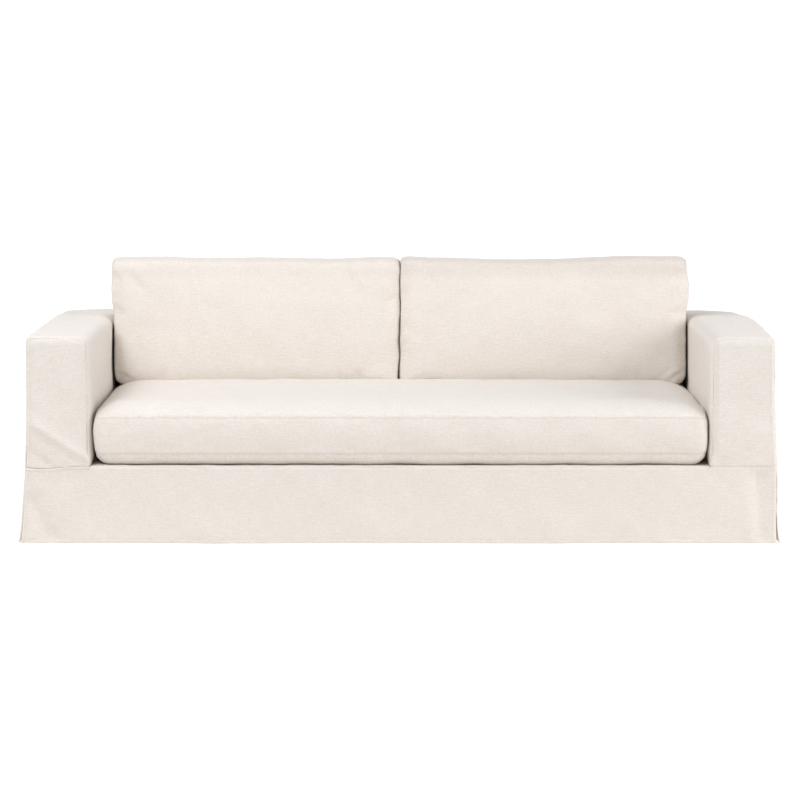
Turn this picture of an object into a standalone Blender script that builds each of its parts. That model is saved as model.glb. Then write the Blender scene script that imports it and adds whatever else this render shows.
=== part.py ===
"""Fitted sofa slipcover with its covered seat cushion and back cushions, in metres, +Z up.

The sofa faces -Y, with +X to the right of someone who looks at its front.
The origin is on the floor, in the middle of the cover.
The sofa itself is not modelled: the cover is hollow and open underneath.

Each panel starts as flat faces of a sharp-edged box, is cut along named lines,
and is then rounded at its edges, given its thickness and let hang with its folds.
Each cushion starts as a box as well, and is crowned where its filling swells it.
"""

import math

import bmesh
import bpy
import mathutils
import numpy as np

# Sizes of the covered sofa, over the cloth.
OUTER = 1.2225  # middle of the sofa to the outside of an arm
INNER = 1.018  # middle of the sofa to the inside of an arm
FRONT = -0.495  # front of the arms
REAR = 0.495  # outside of the back
BACK_IN = 0.370  # inside of the back
ARM_TOP = 0.674  # top of the arms and of the back
DECK = 0.255  # cloth under the seat cushion, and the cross seam on the arm fronts
CLOTH = 0.0025  # thickness of the upholstery cloth
SEAM = 0.0003  # how far a panel stops short of where it is sewn to the next

# How far each rounded edge reaches from where the sharp one would be.
EDGE_FRONT = 0.014
EDGE_TOP = 0.020
EDGE_SIDE = 0.018
EDGE_SIDE_REAR = 0.040
EDGE_REAR = 0.040
EDGE_INNER = 0.020
EDGE_INNER_FRONT = 0.012  # crisper where the inside of an arm is sewn to the arm's front
INNER_SOFTENS = 0.100  # length over which it reaches its full rounding, going back
EDGE_DECK = 0.014
EDGE_LEAST = 0.006
EDGE_FADE = 0.060  # length over which an edge sharpens into an inside corner
SHARP_DEG = 50.0  # faces that meet at a larger angle are shaded with a crease

FAR = 9.0  # a bound so far off that nothing is rounded there
SOFTER_FROM = 0.2  # the side edges start to get softer this far behind the middle

# How the loose cloth hangs.
SIDE_FLARE = 0.028  # sideways at the hem
SIDE_FLARE_CURVE = 1.1
FLARE_TOP = 0.480  # the sides start to stand away from the arms at this height
FLARE_BY_MIDDLE = 0.5  # share of the flare that is left half way between the corners
FRONT_FLARE = 0.012  # forwards and backwards at the hem
HEM_CURVE = 1.7  # how late the front and the back start to stand out, going down
FRONT_DEPTH = 0.16  # the front's looseness fades out over this distance
REAR_DEPTH = 0.10
SIDE_START = INNER + 0.02  # the sides' looseness starts here on the arms' tops
ARM_BULGE = 0.013  # outward swell of the right arm's top outer edge
BULGE_AT = 0.02
BULGE_HALF_LENGTH = 0.30
BULGE_LOW = 0.40
BULGE_FULL = 0.62
BULGE_RISE = 0.4  # share of the swell by which the arm's top rises
BULGE_RISE_AT = 1.14
BULGE_RISE_WIDTH = 0.08
SEAM_SAG = 0.009  # how far the left cross seam hangs lower than the right one
SAG_AT = -1.165
SAG_WIDTH = 0.06
SAG_HEIGHT = 0.09
HEM_WAVE = 0.003
HEM_LIFT = 0.003
LIFT_LENGTH_X = 0.9
LIFT_LENGTH_Y = 0.7
VENT_HEIGHT = 0.092  # the corners of the skirt are open up to here
VENT_OPEN = 0.007
VENT_REACH = 0.12  # the skirt starts to part this far from its corner

# Waves of the hem, each as its length, shift and share.
FRONT_WAVES = ((0.83, 0.10, 0.5), (0.47, 0.35, 0.5))
SIDE_WAVES = ((0.52, 0.20, 0.6), (0.31, 0.60, 0.4))
REAR_WAVES = ((0.74, 0.55, 0.5), (0.41, 0.15, 0.5))

# Seat cushion.
SEAT_HALF_WIDTH = 1.0065
SEAT_SHIFT = 0.0035
SEAT_FRONT = -0.494
SEAT_REAR = 0.360
SEAT_BOTTOM = 0.2554
SEAT_SEAM_LOW = 0.297
SEAT_SEAM_HIGH = 0.412
SEAT_CROWN = 0.039
SEAT_BELLY = 0.005
SEAT_SHOULDER = 0.110  # the crown rises over this distance from the edge
SEAT_SHOULDER_REAR = 0.035  # under the back cushions it is pressed flat
SEAT_CORNER = 0.045
SEAT_STEPS = (0.004, 0.014, 0.035, 0.070, 0.110)  # cut lines beside the edges, from the edge

# Back cushions.
BACK_HALF_WIDTH = 0.5025
BACK_MIDDLE = 0.5095
BACK_LOW = 0.4575
BACK_HIGH = 0.871
BACK_SEAM_FRONT = 0.235
BACK_SEAM_REAR = 0.355
BACK_REST = 0.3697  # where the cushion is flat against the inside back
BACK_CROWN = 0.050
BACK_BELLY = 0.020
BACK_SHOULDER = 0.090
BACK_SHOULDER_LOW = 0.045
BACK_OVER_ARM = {"left": 0.004, "right": 0.003}  # how far the outer end swells above the arm
OVER_ARM_START = ARM_TOP + 0.01
OVER_ARM_FULL = ARM_TOP + 0.07
BACK_DRAWN_IN = {"left": 0.002, "right": 0.011}  # how far its top corner is drawn in again
DRAWN_IN_START = 0.76
OUTER_END = 0.3  # the swell and the drawing in start this far from the cushion's middle
OUTER_FULL = 0.5
BACK_TOP_WAVES = {"left": ((0.92, 0.75, 0.0012),), "right": ((0.98, 0.10, -0.0042),)}
BACK_CORNER = 0.018
BACK_LEAN = 0.110  # metres back for each metre up
BACK_FOOT = 0.030  # how far the lean starts in front of the upright cushion
TOP_WAVE_START = 0.62
TOUCH_GAP = 0.0012
BACK_STEPS = (0.004, 0.012, 0.028, 0.055, 0.090)

BAND_SWELL = 0.004  # how far a cushion's band swells between its seams
BAND_LEVELS = (-0.5, 0.0, 0.5)  # cut lines along the band, -1 and 1 being its seams
ON_SEAM = 0.9999  # a level from which a point lies on a cushion's broad side

FOLD_START = (-0.02, 0.03)  # a fold fades in between these distances from its ends

# Folds pressed into the front of the cover: start x, start z, end x, end z, half width, height.
FRONT_FOLDS = (
    (-1.215, 0.405, -1.050, 0.275, 0.034, 0.005),
    (-1.215, 0.335, -1.120, 0.262, 0.034, -0.003),
    (-1.040, 0.235, -1.160, 0.190, 0.030, -0.003),
    (-1.185, 0.170, -1.120, 0.000, 0.035, -0.007),
    (1.060, 0.275, 1.190, 0.390, 0.032, 0.004),
    (1.165, 0.240, 1.185, 0.000, 0.032, -0.006),
    (-0.700, 0.080, -0.560, 0.000, 0.055, 0.004),
    (-0.180, 0.130, -0.020, 0.000, 0.060, 0.004),
    (0.420, 0.120, 0.560, 0.000, 0.055, 0.004),
    (0.850, 0.090, 0.930, 0.000, 0.050, -0.004),
)

# Lines along which neighbouring panels are cut alike, so that their seams fit.
LINES_LOW = (0.030, 0.060, 0.092, 0.130, 0.170, 0.210, 0.241, 0.250)
LINES_HIGH = (0.272, 0.293, 0.317, 0.342, 0.370, 0.400, 0.432, 0.480, 0.545, 0.610, 0.654, 0.661, 0.668)
LINES_REAR = (0.425, 0.455, 0.475, 0.488)
LINES_DEEP = (-0.490, -0.481, -0.455, -0.415, -0.300, -0.120, 0.060, 0.240, 0.310, 0.364, 0.3697) + LINES_REAR
LINES_ACROSS_ARM = (1.024, 1.038, 1.060, 1.085, 1.110, 1.135, 1.160, 1.182, 1.2045, 1.211, 1.217)
LINES_ACROSS_SEAT = (0.100, 0.200, 0.310, 0.420, 0.530, 0.640, 0.750, 0.860, 0.958, 0.990)

# Lines along which one panel alone is cut.
LINES_DECK_DEEP = (FRONT + 0.005, FRONT + EDGE_DECK, FRONT + 0.05, -0.1)
LINES_BACK_ACROSS = (0.310, 0.640, INNER - EDGE_FADE, INNER - 0.030)
LINES_BACK_DEEP = (BACK_IN + 0.006, BACK_IN + 0.020) + LINES_REAR
LINES_BACK_HIGH = (0.475, 0.648, 0.664)

TINY = 1e-6  # places closer than this count as the same


def clear_scene():
    for thing in list(bpy.data.objects):
        bpy.data.objects.remove(thing)


def cloth_material(name, colour):
    material = bpy.data.materials.new(name)
    material.use_nodes = True
    shader = material.node_tree.nodes["Principled BSDF"]
    shader.inputs["Base Color"].default_value = (*colour, 1.0)
    shader.inputs["Roughness"].default_value = 0.9
    shader.inputs["Metallic"].default_value = 0.0
    material.diffuse_color = (*colour, 1.0)
    return material


def ease(value, start, stop):
    """0 up to start, 1 from stop on, and a smooth rise between."""
    share = np.clip((value - start) / (stop - start), 0.0, 1.0)
    return share * share * (3.0 - 2.0 * share)


def bump(value, half_width):
    """1 at zero, falling smoothly to nothing at about twice the half width."""
    return np.exp(-((value / half_width) ** 2))


def between(start, stop, count):
    """Evenly spaced cut lines between two places, without the ends."""
    return [start + (stop - start) * k / (count + 1) for k in range(1, count + 1)]


# ---------------------------------------------------------------- rounded edges


def rounded(points, low, high, low_edge, high_edge):
    """Moves points of a sharp box's faces onto the rounded box.

    low and high bound the box, and the edges say how far from each bound its
    rounding starts, point by point. It gives the points and the surface's normals.
    """
    core = np.clip(points, low + low_edge, high - high_edge)
    edge = np.where(points > core, high_edge, low_edge)
    reach = np.where(points == core, 0.0, (points - core) / edge)
    reach /= np.linalg.norm(reach, axis=1, keepdims=True)
    normals = reach / edge
    normals /= np.linalg.norm(normals, axis=1, keepdims=True)
    return core + edge * reach, normals


def side_edge(y):
    """Rounding of the outer side edges, which is softer towards the back."""
    return EDGE_SIDE + (EDGE_SIDE_REAR - EDGE_SIDE) * ease(y, SOFTER_FROM, REAR - EDGE_REAR)


def inner_edge(y):
    """Rounding of an arm's inner edges, which is crisper at the front."""
    return EDGE_INNER_FRONT + (EDGE_INNER - EDGE_INNER_FRONT) * ease(y, FRONT, FRONT + INNER_SOFTENS)


def faded(size, distance):
    """A rounding that sharpens as the distance to an inside corner shrinks."""
    return np.maximum(size * ease(distance, 0.0, EDGE_FADE), EDGE_LEAST)


def columns(points, x, y, z):
    """One row for each point, from three numbers or arrays of numbers."""
    return np.stack([np.broadcast_to(value, len(points)) for value in (x, y, z)], axis=1)


def arm_rule(points):
    """Bounds and roundings of an arm, for points with x counted from the middle."""
    x, y, z = points.T
    beside_back = y > BACK_IN - TINY
    by_inner = x < INNER + EDGE_INNER
    to_rear = BACK_IN - y
    to_deck = z - DECK
    inner = np.minimum(faded(inner_edge(y), to_rear), faded(inner_edge(y), to_deck))
    front = np.where(by_inner, faded(EDGE_FRONT, to_deck), EDGE_FRONT)
    top = np.where(by_inner & ~beside_back, faded(EDGE_TOP, to_rear), EDGE_TOP)
    low_edge = columns(points, inner, front, EDGE_LEAST)
    high_edge = columns(points, side_edge(y), EDGE_REAR, top)
    low = columns(points, np.where(beside_back, -FAR, INNER), FRONT, -FAR)
    high = columns(points, OUTER, REAR, ARM_TOP)
    return low, high, low_edge, high_edge


def back_rule(points):
    """Bounds and roundings of the back."""
    x, y = points[:, 0], points[:, 1]
    inner = faded(EDGE_INNER, INNER - x)
    by_inner = (y < BACK_IN + EDGE_INNER) & (x < INNER)
    top = np.where(by_inner, np.minimum(inner, EDGE_TOP), EDGE_TOP)
    low_edge = columns(points, EDGE_LEAST, inner, EDGE_LEAST)
    high_edge = columns(points, side_edge(y), EDGE_REAR, top)
    low = columns(points, -FAR, BACK_IN, -FAR)
    high = columns(points, OUTER, REAR, ARM_TOP)
    return low, high, low_edge, high_edge


def seat_rule(points):
    """Bounds and roundings of the front panel and the deck."""
    x, y, z = points.T
    under_cushion = x < INNER + TINY
    deck_edge = faded(EDGE_DECK, INNER - x)
    near_deck = under_cushion & (z > DECK - EDGE_DECK)
    front = np.where(near_deck, np.minimum(deck_edge, EDGE_FRONT), EDGE_FRONT)
    low_edge = columns(points, EDGE_LEAST, front, EDGE_LEAST)
    high_edge = columns(points, side_edge(y), EDGE_REAR, deck_edge)
    low = columns(points, -FAR, FRONT, -FAR)
    high = columns(points, OUTER, FAR, np.where(under_cushion, DECK, FAR))
    return low, high, low_edge, high_edge


# ---------------------------------------------------------------- hanging cloth


def wave(along, waves):
    """A sum of sines, each given as its length, shift and share."""
    return sum(share * np.sin(2.0 * math.pi * (along / length + shift)) for length, shift, share in waves)


def fold_height(x, z):
    """How far the folds stand out of the front of the cover."""
    total = np.zeros_like(x)
    for x0, z0, x1, z1, half_width, height in FRONT_FOLDS:
        length = math.hypot(x1 - x0, z1 - z0)
        along_x, along_z = (x1 - x0) / length, (z1 - z0) / length
        along = (x - x0) * along_x + (z - z0) * along_z
        across = (x - x0) * along_z - (z - z0) * along_x
        ends = ease(along, *FOLD_START) * ease(length - along, *FOLD_START)
        total += height * ends * bump(across, half_width)
    return total


def hang(points):
    """Lets the cover's points fall as loose cloth: flare, waves, folds and a sagging seam."""
    x, y, z = points.T.copy()
    by_side = ease(np.abs(x), SIDE_START, OUTER)
    by_front = 1.0 - ease(y, FRONT, FRONT + FRONT_DEPTH)
    by_rear = ease(y, REAR - REAR_DEPTH, REAR)
    drop = np.clip(1.0 - z / (DECK - CLOTH), 0.0, 1.0)
    flare = drop**HEM_CURVE

    by_corner = np.clip(np.abs(y) / REAR, 0.0, 1.0) ** 2
    out = SIDE_FLARE * np.clip(1.0 - z / FLARE_TOP, 0.0, 1.0) ** SIDE_FLARE_CURVE
    out = out * (FLARE_BY_MIDDLE + (1.0 - FLARE_BY_MIDDLE) * by_corner)
    out = out + HEM_WAVE * flare * wave(y, SIDE_WAVES) * (1.0 - by_front) * (1.0 - by_rear)
    swell = ARM_BULGE * bump(y - BULGE_AT, BULGE_HALF_LENGTH) * ease(z, BULGE_LOW, BULGE_FULL) * (x > 0.0)
    new_x = x + np.sign(x) * by_side * (out + swell)

    forward = FRONT_FLARE * flare + HEM_WAVE * flare * wave(x, FRONT_WAVES) * (1.0 - by_side)
    backward = FRONT_FLARE * flare + HEM_WAVE * flare * wave(x, REAR_WAVES) * (1.0 - by_side)
    new_y = y - by_front * (forward + fold_height(x, z)) + by_rear * backward

    sag = SEAM_SAG * bump(x - SAG_AT, SAG_WIDTH) * bump(z - DECK, SAG_HEIGHT) * by_front
    turns = x / LIFT_LENGTH_X + y / LIFT_LENGTH_Y
    lift = HEM_LIFT * drop * (0.5 + 0.5 * np.sin(2.0 * math.pi * turns))
    crown = swell * ease(z, BULGE_FULL, ARM_TOP) * bump(np.abs(x) - BULGE_RISE_AT, BULGE_RISE_WIDTH)
    return np.stack([new_x, new_y, z - sag + lift + BULGE_RISE * crown], axis=1)


def open_vents(points):
    """Parts the lower corners of an outside arm from the front and the back."""
    x, y, z = points.T.copy()
    share = np.clip(1.0 - z / VENT_HEIGHT, 0.0, 1.0) ** 2 * ease(np.abs(y), REAR - VENT_REACH, REAR)
    new_y = y - np.sign(y) * VENT_OPEN * share
    new_x = x + np.sign(x) * 0.5 * VENT_OPEN * share
    return np.stack([new_x, new_y, z], axis=1)


# ---------------------------------------------------------------- mesh helpers


def cut(mesh, axis, places):
    """Cuts the whole mesh along planes across one axis."""
    normal = [0.0, 0.0, 0.0]
    normal[axis] = 1.0
    for place in places:
        through = [0.0, 0.0, 0.0]
        through[axis] = place
        everything = mesh.verts[:] + mesh.edges[:] + mesh.faces[:]
        bmesh.ops.bisect_plane(mesh, geom=everything, dist=TINY, plane_co=through, plane_no=normal)


def rectangle(mesh, low, high):
    """Adds a flat rectangle between two corners that share one coordinate."""
    flat = min(range(3), key=lambda axis: abs(high[axis] - low[axis]))
    first, second = [axis for axis in range(3) if axis != flat]
    corners = []
    for take_first, take_second in ((0, 0), (1, 0), (1, 1), (0, 1)):
        corner = list(low)
        corner[first] = (low, high)[take_first][first]
        corner[second] = (low, high)[take_second][second]
        corners.append(mesh.verts.new(corner))
    mesh.faces.new(corners)


def coordinates(mesh):
    return np.array([vertex.co[:] for vertex in mesh.verts], dtype=float)


def place_points(mesh, places):
    """Puts each point of the mesh where its row says."""
    for vertex, place in zip(mesh.verts[:], places):
        vertex.co = place


def finish(mesh, name, material):
    """Turns the faces outwards and makes the object."""
    bmesh.ops.recalc_face_normals(mesh, faces=mesh.faces[:])
    if mesh.calc_volume(signed=True) < 0.0:
        bmesh.ops.reverse_faces(mesh, faces=mesh.faces[:])
    data = bpy.data.meshes.new(name)
    mesh.to_mesh(data)
    mesh.free()
    data.materials.append(material)
    data.shade_smooth()
    data.set_sharp_from_angle(angle=math.radians(SHARP_DEG))
    thing = bpy.data.objects.new(name, data)
    bpy.context.scene.collection.objects.link(thing)
    return thing


def panel(name, material, rectangles, cuts, rule, after=None):
    """A cloth panel of one or more rectangles, rounded, thickened and hung."""
    mesh = bmesh.new()
    for low, high in rectangles:
        rectangle(mesh, low, high)
    for axis, places in enumerate(cuts):
        cut(mesh, axis, places)
    bmesh.ops.remove_doubles(mesh, verts=mesh.verts[:], dist=TINY)
    bmesh.ops.recalc_face_normals(mesh, faces=mesh.faces[:])
    mesh.verts.index_update()
    sharp = coordinates(mesh)
    side = np.where(sharp[:, 0] < 0.0, -1.0, 1.0)
    folded = sharp.copy()
    folded[:, 0] = np.abs(folded[:, 0])
    outer, normals = rounded(folded, *rule(folded))
    inner = outer - CLOTH * normals
    outer[:, 0] *= side
    inner[:, 0] *= side
    outer, inner = hang(outer), hang(inner)
    if after:
        outer, inner = after(outer), after(inner)
    rim = [edge for edge in mesh.edges if edge.is_boundary]
    skin = mesh.faces[:]
    place_points(mesh, outer)
    under = [mesh.verts.new(place) for place in inner]
    for edge in rim:
        first, second = edge.verts
        mesh.faces.new((first, second, under[second.index], under[first.index]))
    for face in skin:
        mesh.faces.new([under[vertex.index] for vertex in reversed(face.verts)])
    return finish(mesh, name, material)


# ---------------------------------------------------------------- the body cover


def both(lines):
    """The same lines on the left and on the right."""
    return [side * line for side in (-1, 1) for line in lines]


def front_panel(material):
    low = (-OUTER + SEAM, FRONT, 0.0)
    high = (OUTER - SEAM, FRONT, DECK - SEAM)
    across = [0.0] + both(LINES_ACROSS_SEAT + (INNER,) + LINES_ACROSS_ARM)
    return panel("front_panel", material, [(low, high)], (across, [], LINES_LOW), seat_rule)


def deck(material):
    low = (-INNER + SEAM, FRONT + SEAM, DECK)
    high = (INNER - SEAM, BACK_IN - SEAM, DECK)
    cuts = ([0.0] + both(LINES_ACROSS_SEAT), LINES_DECK_DEEP, [])
    return panel("deck", material, [(low, high)], cuts, seat_rule)


def arm_front(name, side, material):
    x0, x1 = sorted((side * (INNER + SEAM), side * (OUTER - SEAM)))
    low = (x0, FRONT, DECK + SEAM)
    high = (x1, FRONT, ARM_TOP - SEAM)
    return panel(name, material, [(low, high)], (both(LINES_ACROSS_ARM), [], LINES_HIGH), arm_rule)


def inside_arm(name, side, material):
    """One piece, up the inside of the arm and over its top."""
    x0, x1 = sorted((side * INNER, side * (OUTER - SEAM)))
    top = ((x0, FRONT + SEAM, ARM_TOP), (x1, REAR - SEAM, ARM_TOP))
    inside = ((side * INNER, FRONT + SEAM, DECK + SEAM), (side * INNER, BACK_IN - SEAM, ARM_TOP))
    return panel(name, material, [top, inside], (both(LINES_ACROSS_ARM), LINES_DEEP, LINES_HIGH), arm_rule)


def outside_arm(name, side, material):
    low = (side * OUTER, FRONT + SEAM, 0.0)
    high = (side * OUTER, REAR - SEAM, ARM_TOP - SEAM)
    down = LINES_LOW + LINES_HIGH
    return panel(name, material, [(low, high)], ([], LINES_DEEP, down), arm_rule, after=open_vents)


def inside_back(material):
    """One piece, up the inside of the back and over its top."""
    top = ((-INNER + SEAM, BACK_IN, ARM_TOP), (INNER - SEAM, REAR - SEAM, ARM_TOP))
    inside = ((-INNER + SEAM, BACK_IN, DECK + SEAM), (INNER - SEAM, BACK_IN, ARM_TOP))
    cuts = ([0.0] + both(LINES_BACK_ACROSS), LINES_BACK_DEEP, LINES_BACK_HIGH)
    return panel("inside_back", material, [top, inside], cuts, back_rule)


def outside_back(material):
    low = (-OUTER + SEAM, REAR, 0.0)
    high = (OUTER - SEAM, REAR, ARM_TOP - SEAM)
    across = [0.0] + both(LINES_ACROSS_SEAT[1::2] + (INNER,) + LINES_ACROSS_ARM[1:])
    return panel("outside_back", material, [(low, high)], (across, [], LINES_LOW + LINES_HIGH), back_rule)


# ---------------------------------------------------------------- cushions


def shoulder(distance, reach):
    """Quarter-ellipse rise from a cushion's edge: 0 at the edge, 1 from the reach on."""
    share = 1.0 - np.clip(distance / reach, 0.0, 1.0)
    return np.sqrt(np.clip(1.0 - share**2, 0.0, 1.0))


def soften_corners(across, up, half_across, half_up, corner):
    """Rounds the outline of a rectangle's points at its four corners."""
    over_a = np.maximum(np.abs(across) - (half_across - corner), 0.0)
    over_u = np.maximum(np.abs(up) - (half_up - corner), 0.0)
    size = np.hypot(over_a, over_u)
    pull = np.where(size > 0.0, np.maximum(over_a, over_u) / np.maximum(size, TINY), 1.0)
    new_a = np.sign(across) * (np.minimum(np.abs(across), half_across - corner) + over_a * pull)
    new_u = np.sign(up) * (np.minimum(np.abs(up), half_up - corner) + over_u * pull)
    return new_a, new_u


def dome(across, up, half_across, half_up, reach, reach_low, reach_high):
    """How much of its full crown a cushion has at a place, 0 at its seams."""
    sides = shoulder(half_across - np.abs(across), reach)
    return sides * shoulder(half_up + up, reach_low) * shoulder(half_up - up, reach_high)


def outlined(across, up, level, half_across, half_up, corner):
    """Rounds a box's outline at its corners and swells its band between the seams."""
    new_a, new_u = soften_corners(across, up, half_across, half_up, corner)
    bulge = BAND_SWELL * np.clip(1.0 - level**2, 0.0, 1.0)
    return new_a * (1.0 + bulge / half_across), new_u * (1.0 + bulge / half_up)


def seat_crown(across, deep):
    """How far the seat cushion's top stands above its upper seam."""
    half_depth = (SEAT_REAR - SEAT_FRONT) / 2.0
    over_x = np.clip(across, -SEAT_HALF_WIDTH, SEAT_HALF_WIDTH)
    over_y = np.clip(deep, -half_depth, half_depth)
    full = dome(over_x, over_y, SEAT_HALF_WIDTH, half_depth, SEAT_SHOULDER, SEAT_SHOULDER, SEAT_SHOULDER_REAR)
    broad = (1.0 - (over_x / SEAT_HALF_WIDTH) ** 2) * (1.0 - (over_y / half_depth) ** 2)
    return SEAT_CROWN * full + SEAT_BELLY * broad


def seat_top(x, y):
    """Height of the seat cushion's upper side above the floor, at a place on it."""
    return SEAT_SEAM_HIGH + seat_crown(x - SEAT_SHIFT, y - (SEAT_REAR + SEAT_FRONT) / 2.0)


def box_mesh(half, cuts):
    """A box of the given half sizes, cut along lines."""
    mesh = bmesh.new()
    bmesh.ops.create_cube(mesh, size=2.0)
    bmesh.ops.scale(mesh, vec=half, verts=mesh.verts[:])
    for axis, places in enumerate(cuts):
        cut(mesh, axis, places)
    return mesh


def edge_cuts(half, steps, middle):
    """Cut lines on both sides of the middle, closer together beside the ends."""
    near = [half - step for step in steps]
    rest = between(0.0, near[-1], middle)
    return [0.0] + [sign * place for sign in (-1, 1) for place in near + rest]


def seat_cushion(material):
    """One boxed cushion across the whole seat."""
    half_depth = (SEAT_REAR - SEAT_FRONT) / 2.0
    middle = (SEAT_REAR + SEAT_FRONT) / 2.0
    cuts = (edge_cuts(SEAT_HALF_WIDTH, SEAT_STEPS, 4), edge_cuts(half_depth, SEAT_STEPS, 1), BAND_LEVELS)
    mesh = box_mesh((SEAT_HALF_WIDTH, half_depth, 1.0), cuts)
    across, deep, level = coordinates(mesh).T
    new_a, new_d = outlined(across, deep, level, SEAT_HALF_WIDTH, half_depth, SEAT_CORNER)
    height = SEAT_SEAM_LOW + (SEAT_SEAM_HIGH - SEAT_SEAM_LOW) * (level + 1.0) / 2.0
    height = height + np.where(level > ON_SEAM, seat_crown(across, deep), 0.0)
    under = dome(across, deep, SEAT_HALF_WIDTH, half_depth, SEAT_CORNER, SEAT_CORNER, SEAT_CORNER)
    height = height - np.where(level < -ON_SEAM, (SEAT_SEAM_LOW - SEAT_BOTTOM) * under, 0.0)
    place_points(mesh, np.stack([new_a + SEAT_SHIFT, new_d + middle, height], axis=1))
    return finish(mesh, "seat_cushion", material)


def back_cushion(hand, side, material):
    """A back cushion, leaning on the inside back and settled on the seat cushion."""
    half_up = (BACK_HIGH - BACK_LOW) / 2.0
    cuts = (edge_cuts(BACK_HALF_WIDTH, BACK_STEPS, 3), BAND_LEVELS, edge_cuts(half_up, BACK_STEPS, 1))
    mesh = box_mesh((BACK_HALF_WIDTH, 1.0, half_up), cuts)
    across, level, up = coordinates(mesh).T
    new_a, new_u = outlined(across, up, level, BACK_HALF_WIDTH, half_up, BACK_CORNER)
    full = dome(across, up, BACK_HALF_WIDTH, half_up, BACK_SHOULDER, BACK_SHOULDER_LOW, BACK_SHOULDER)
    broad = (1.0 - (across / BACK_HALF_WIDTH) ** 2) * (1.0 - (up / half_up) ** 2)
    swell = np.where(np.abs(level) > ON_SEAM, level * (BACK_CROWN * full + BACK_BELLY * broad), 0.0)
    height = (BACK_HIGH + BACK_LOW) / 2.0 + new_u
    depth = BACK_SEAM_FRONT + (BACK_SEAM_REAR - BACK_SEAM_FRONT) * (level + 1.0) / 2.0 + swell
    depth = np.minimum(depth + BACK_LEAN * (height - BACK_LOW) - BACK_FOOT, BACK_REST)
    outwards = BACK_OVER_ARM[hand] * ease(height, OVER_ARM_START, OVER_ARM_FULL)
    outwards = outwards - BACK_DRAWN_IN[hand] * ease(height, DRAWN_IN_START, BACK_HIGH)
    x = side * (BACK_MIDDLE + outwards * ease(side * new_a, OUTER_END, OUTER_FULL)) + new_a
    height = height + wave(new_a, BACK_TOP_WAVES[hand]) * ease(height, TOP_WAVE_START, BACK_HIGH)
    height = np.maximum(height, seat_top(x, depth) + TOUCH_GAP)
    place_points(mesh, np.stack([x, depth, height], axis=1))
    return finish(mesh, f"back_cushion_{hand}", material)


def centre(things):
    """Moves everything so that the whole stands on the floor with its middle at the origin."""
    places = np.array([vertex.co[:] for thing in things for vertex in thing.data.vertices])
    low, high = places.min(axis=0), places.max(axis=0)
    shift = mathutils.Matrix.Translation((-(low[0] + high[0]) / 2.0, -(low[1] + high[1]) / 2.0, -low[2]))
    for thing in things:
        thing.data.transform(shift)


def build():
    clear_scene()
    body = cloth_material("body_cloth", (0.86, 0.81, 0.75))
    seat = cloth_material("seat_cloth", (0.86, 0.82, 0.76))
    back = cloth_material("back_cloth", (0.87, 0.80, 0.73))
    front_panel(body)
    deck(body)
    for name, side in (("left", -1), ("right", 1)):
        arm_front(f"arm_front_{name}", side, body)
        inside_arm(f"inside_arm_{name}", side, body)
        outside_arm(f"outside_arm_{name}", side, body)
        back_cushion(name, side, back)
    inside_back(body)
    outside_back(body)
    seat_cushion(seat)
    centre(bpy.context.scene.objects[:])


build()
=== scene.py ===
"""Fitted sofa slipcover, dressed: sewn cloth panels, filled cushions, topstitching and a plain studio.

A panel is drawn as a flat pattern, wrapped over the sofa's rounded form, creased along listed
folds and given its thickness. A cushion is a boxed form whose cloth is filled by a simulation and then
sewn along its seams. Lengths are in metres, +Z is up, and the sofa faces -Y.
"""

import math
from collections.abc import Callable
from dataclasses import dataclass

import bpy
import numpy as np
from bpy.props import FloatProperty, FloatVectorProperty, PointerProperty
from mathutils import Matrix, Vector


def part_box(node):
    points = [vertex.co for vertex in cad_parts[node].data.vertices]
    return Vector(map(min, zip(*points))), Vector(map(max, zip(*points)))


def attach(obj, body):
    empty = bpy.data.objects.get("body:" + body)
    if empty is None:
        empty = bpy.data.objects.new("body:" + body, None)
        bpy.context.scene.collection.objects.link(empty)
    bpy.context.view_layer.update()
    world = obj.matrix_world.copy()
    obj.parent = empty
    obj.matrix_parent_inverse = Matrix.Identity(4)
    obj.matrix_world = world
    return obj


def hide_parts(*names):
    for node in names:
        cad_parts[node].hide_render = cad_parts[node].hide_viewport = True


bl_info = {
    "name": "Fitted Sofa Slipcover",
    "version": (1, 0, 0),
    "blender": (4, 5, 0),
    "location": "View3D > Sidebar > Slipcover",
    "description": "Sews a fitted slipcover and its cushions over the sofa's form",
    "category": "Add Mesh",
}

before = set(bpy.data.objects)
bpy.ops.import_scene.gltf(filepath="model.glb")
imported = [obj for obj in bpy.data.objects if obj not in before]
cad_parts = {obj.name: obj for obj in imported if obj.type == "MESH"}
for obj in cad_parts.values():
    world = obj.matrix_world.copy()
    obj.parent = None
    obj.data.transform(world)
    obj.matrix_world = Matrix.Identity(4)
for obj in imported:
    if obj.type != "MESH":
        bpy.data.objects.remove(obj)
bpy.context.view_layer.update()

# ------------------------------------------------------------------ sizes of the form

OUTER = 1.2225  # middle of the sofa to the outside of an arm
FRONT = -0.495
REAR = 0.495
BACK_IN = 0.370  # inside of the back
ARM_TOP = 0.674
SEAM = 0.0003  # how far a panel stops short of where it is sewn to the next
BACK_REST = 0.3697  # where the back cushions are flat against the inside back
DECK_LOW, DECK_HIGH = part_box("deck")
DECK = DECK_HIGH.z
INNER = (DECK_HIGH.x - DECK_LOW.x) / 2.0 + SEAM  # middle of the sofa to the inside of an arm
MIDDLE = np.array([(DECK_LOW.x + DECK_HIGH.x) / 2.0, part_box("back_cushion_left")[1].y - BACK_REST, 0.0])
HANDS = (("left", -1), ("right", 1))
ORIGIN = (0.0, 0.0, 0.0)

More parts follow.
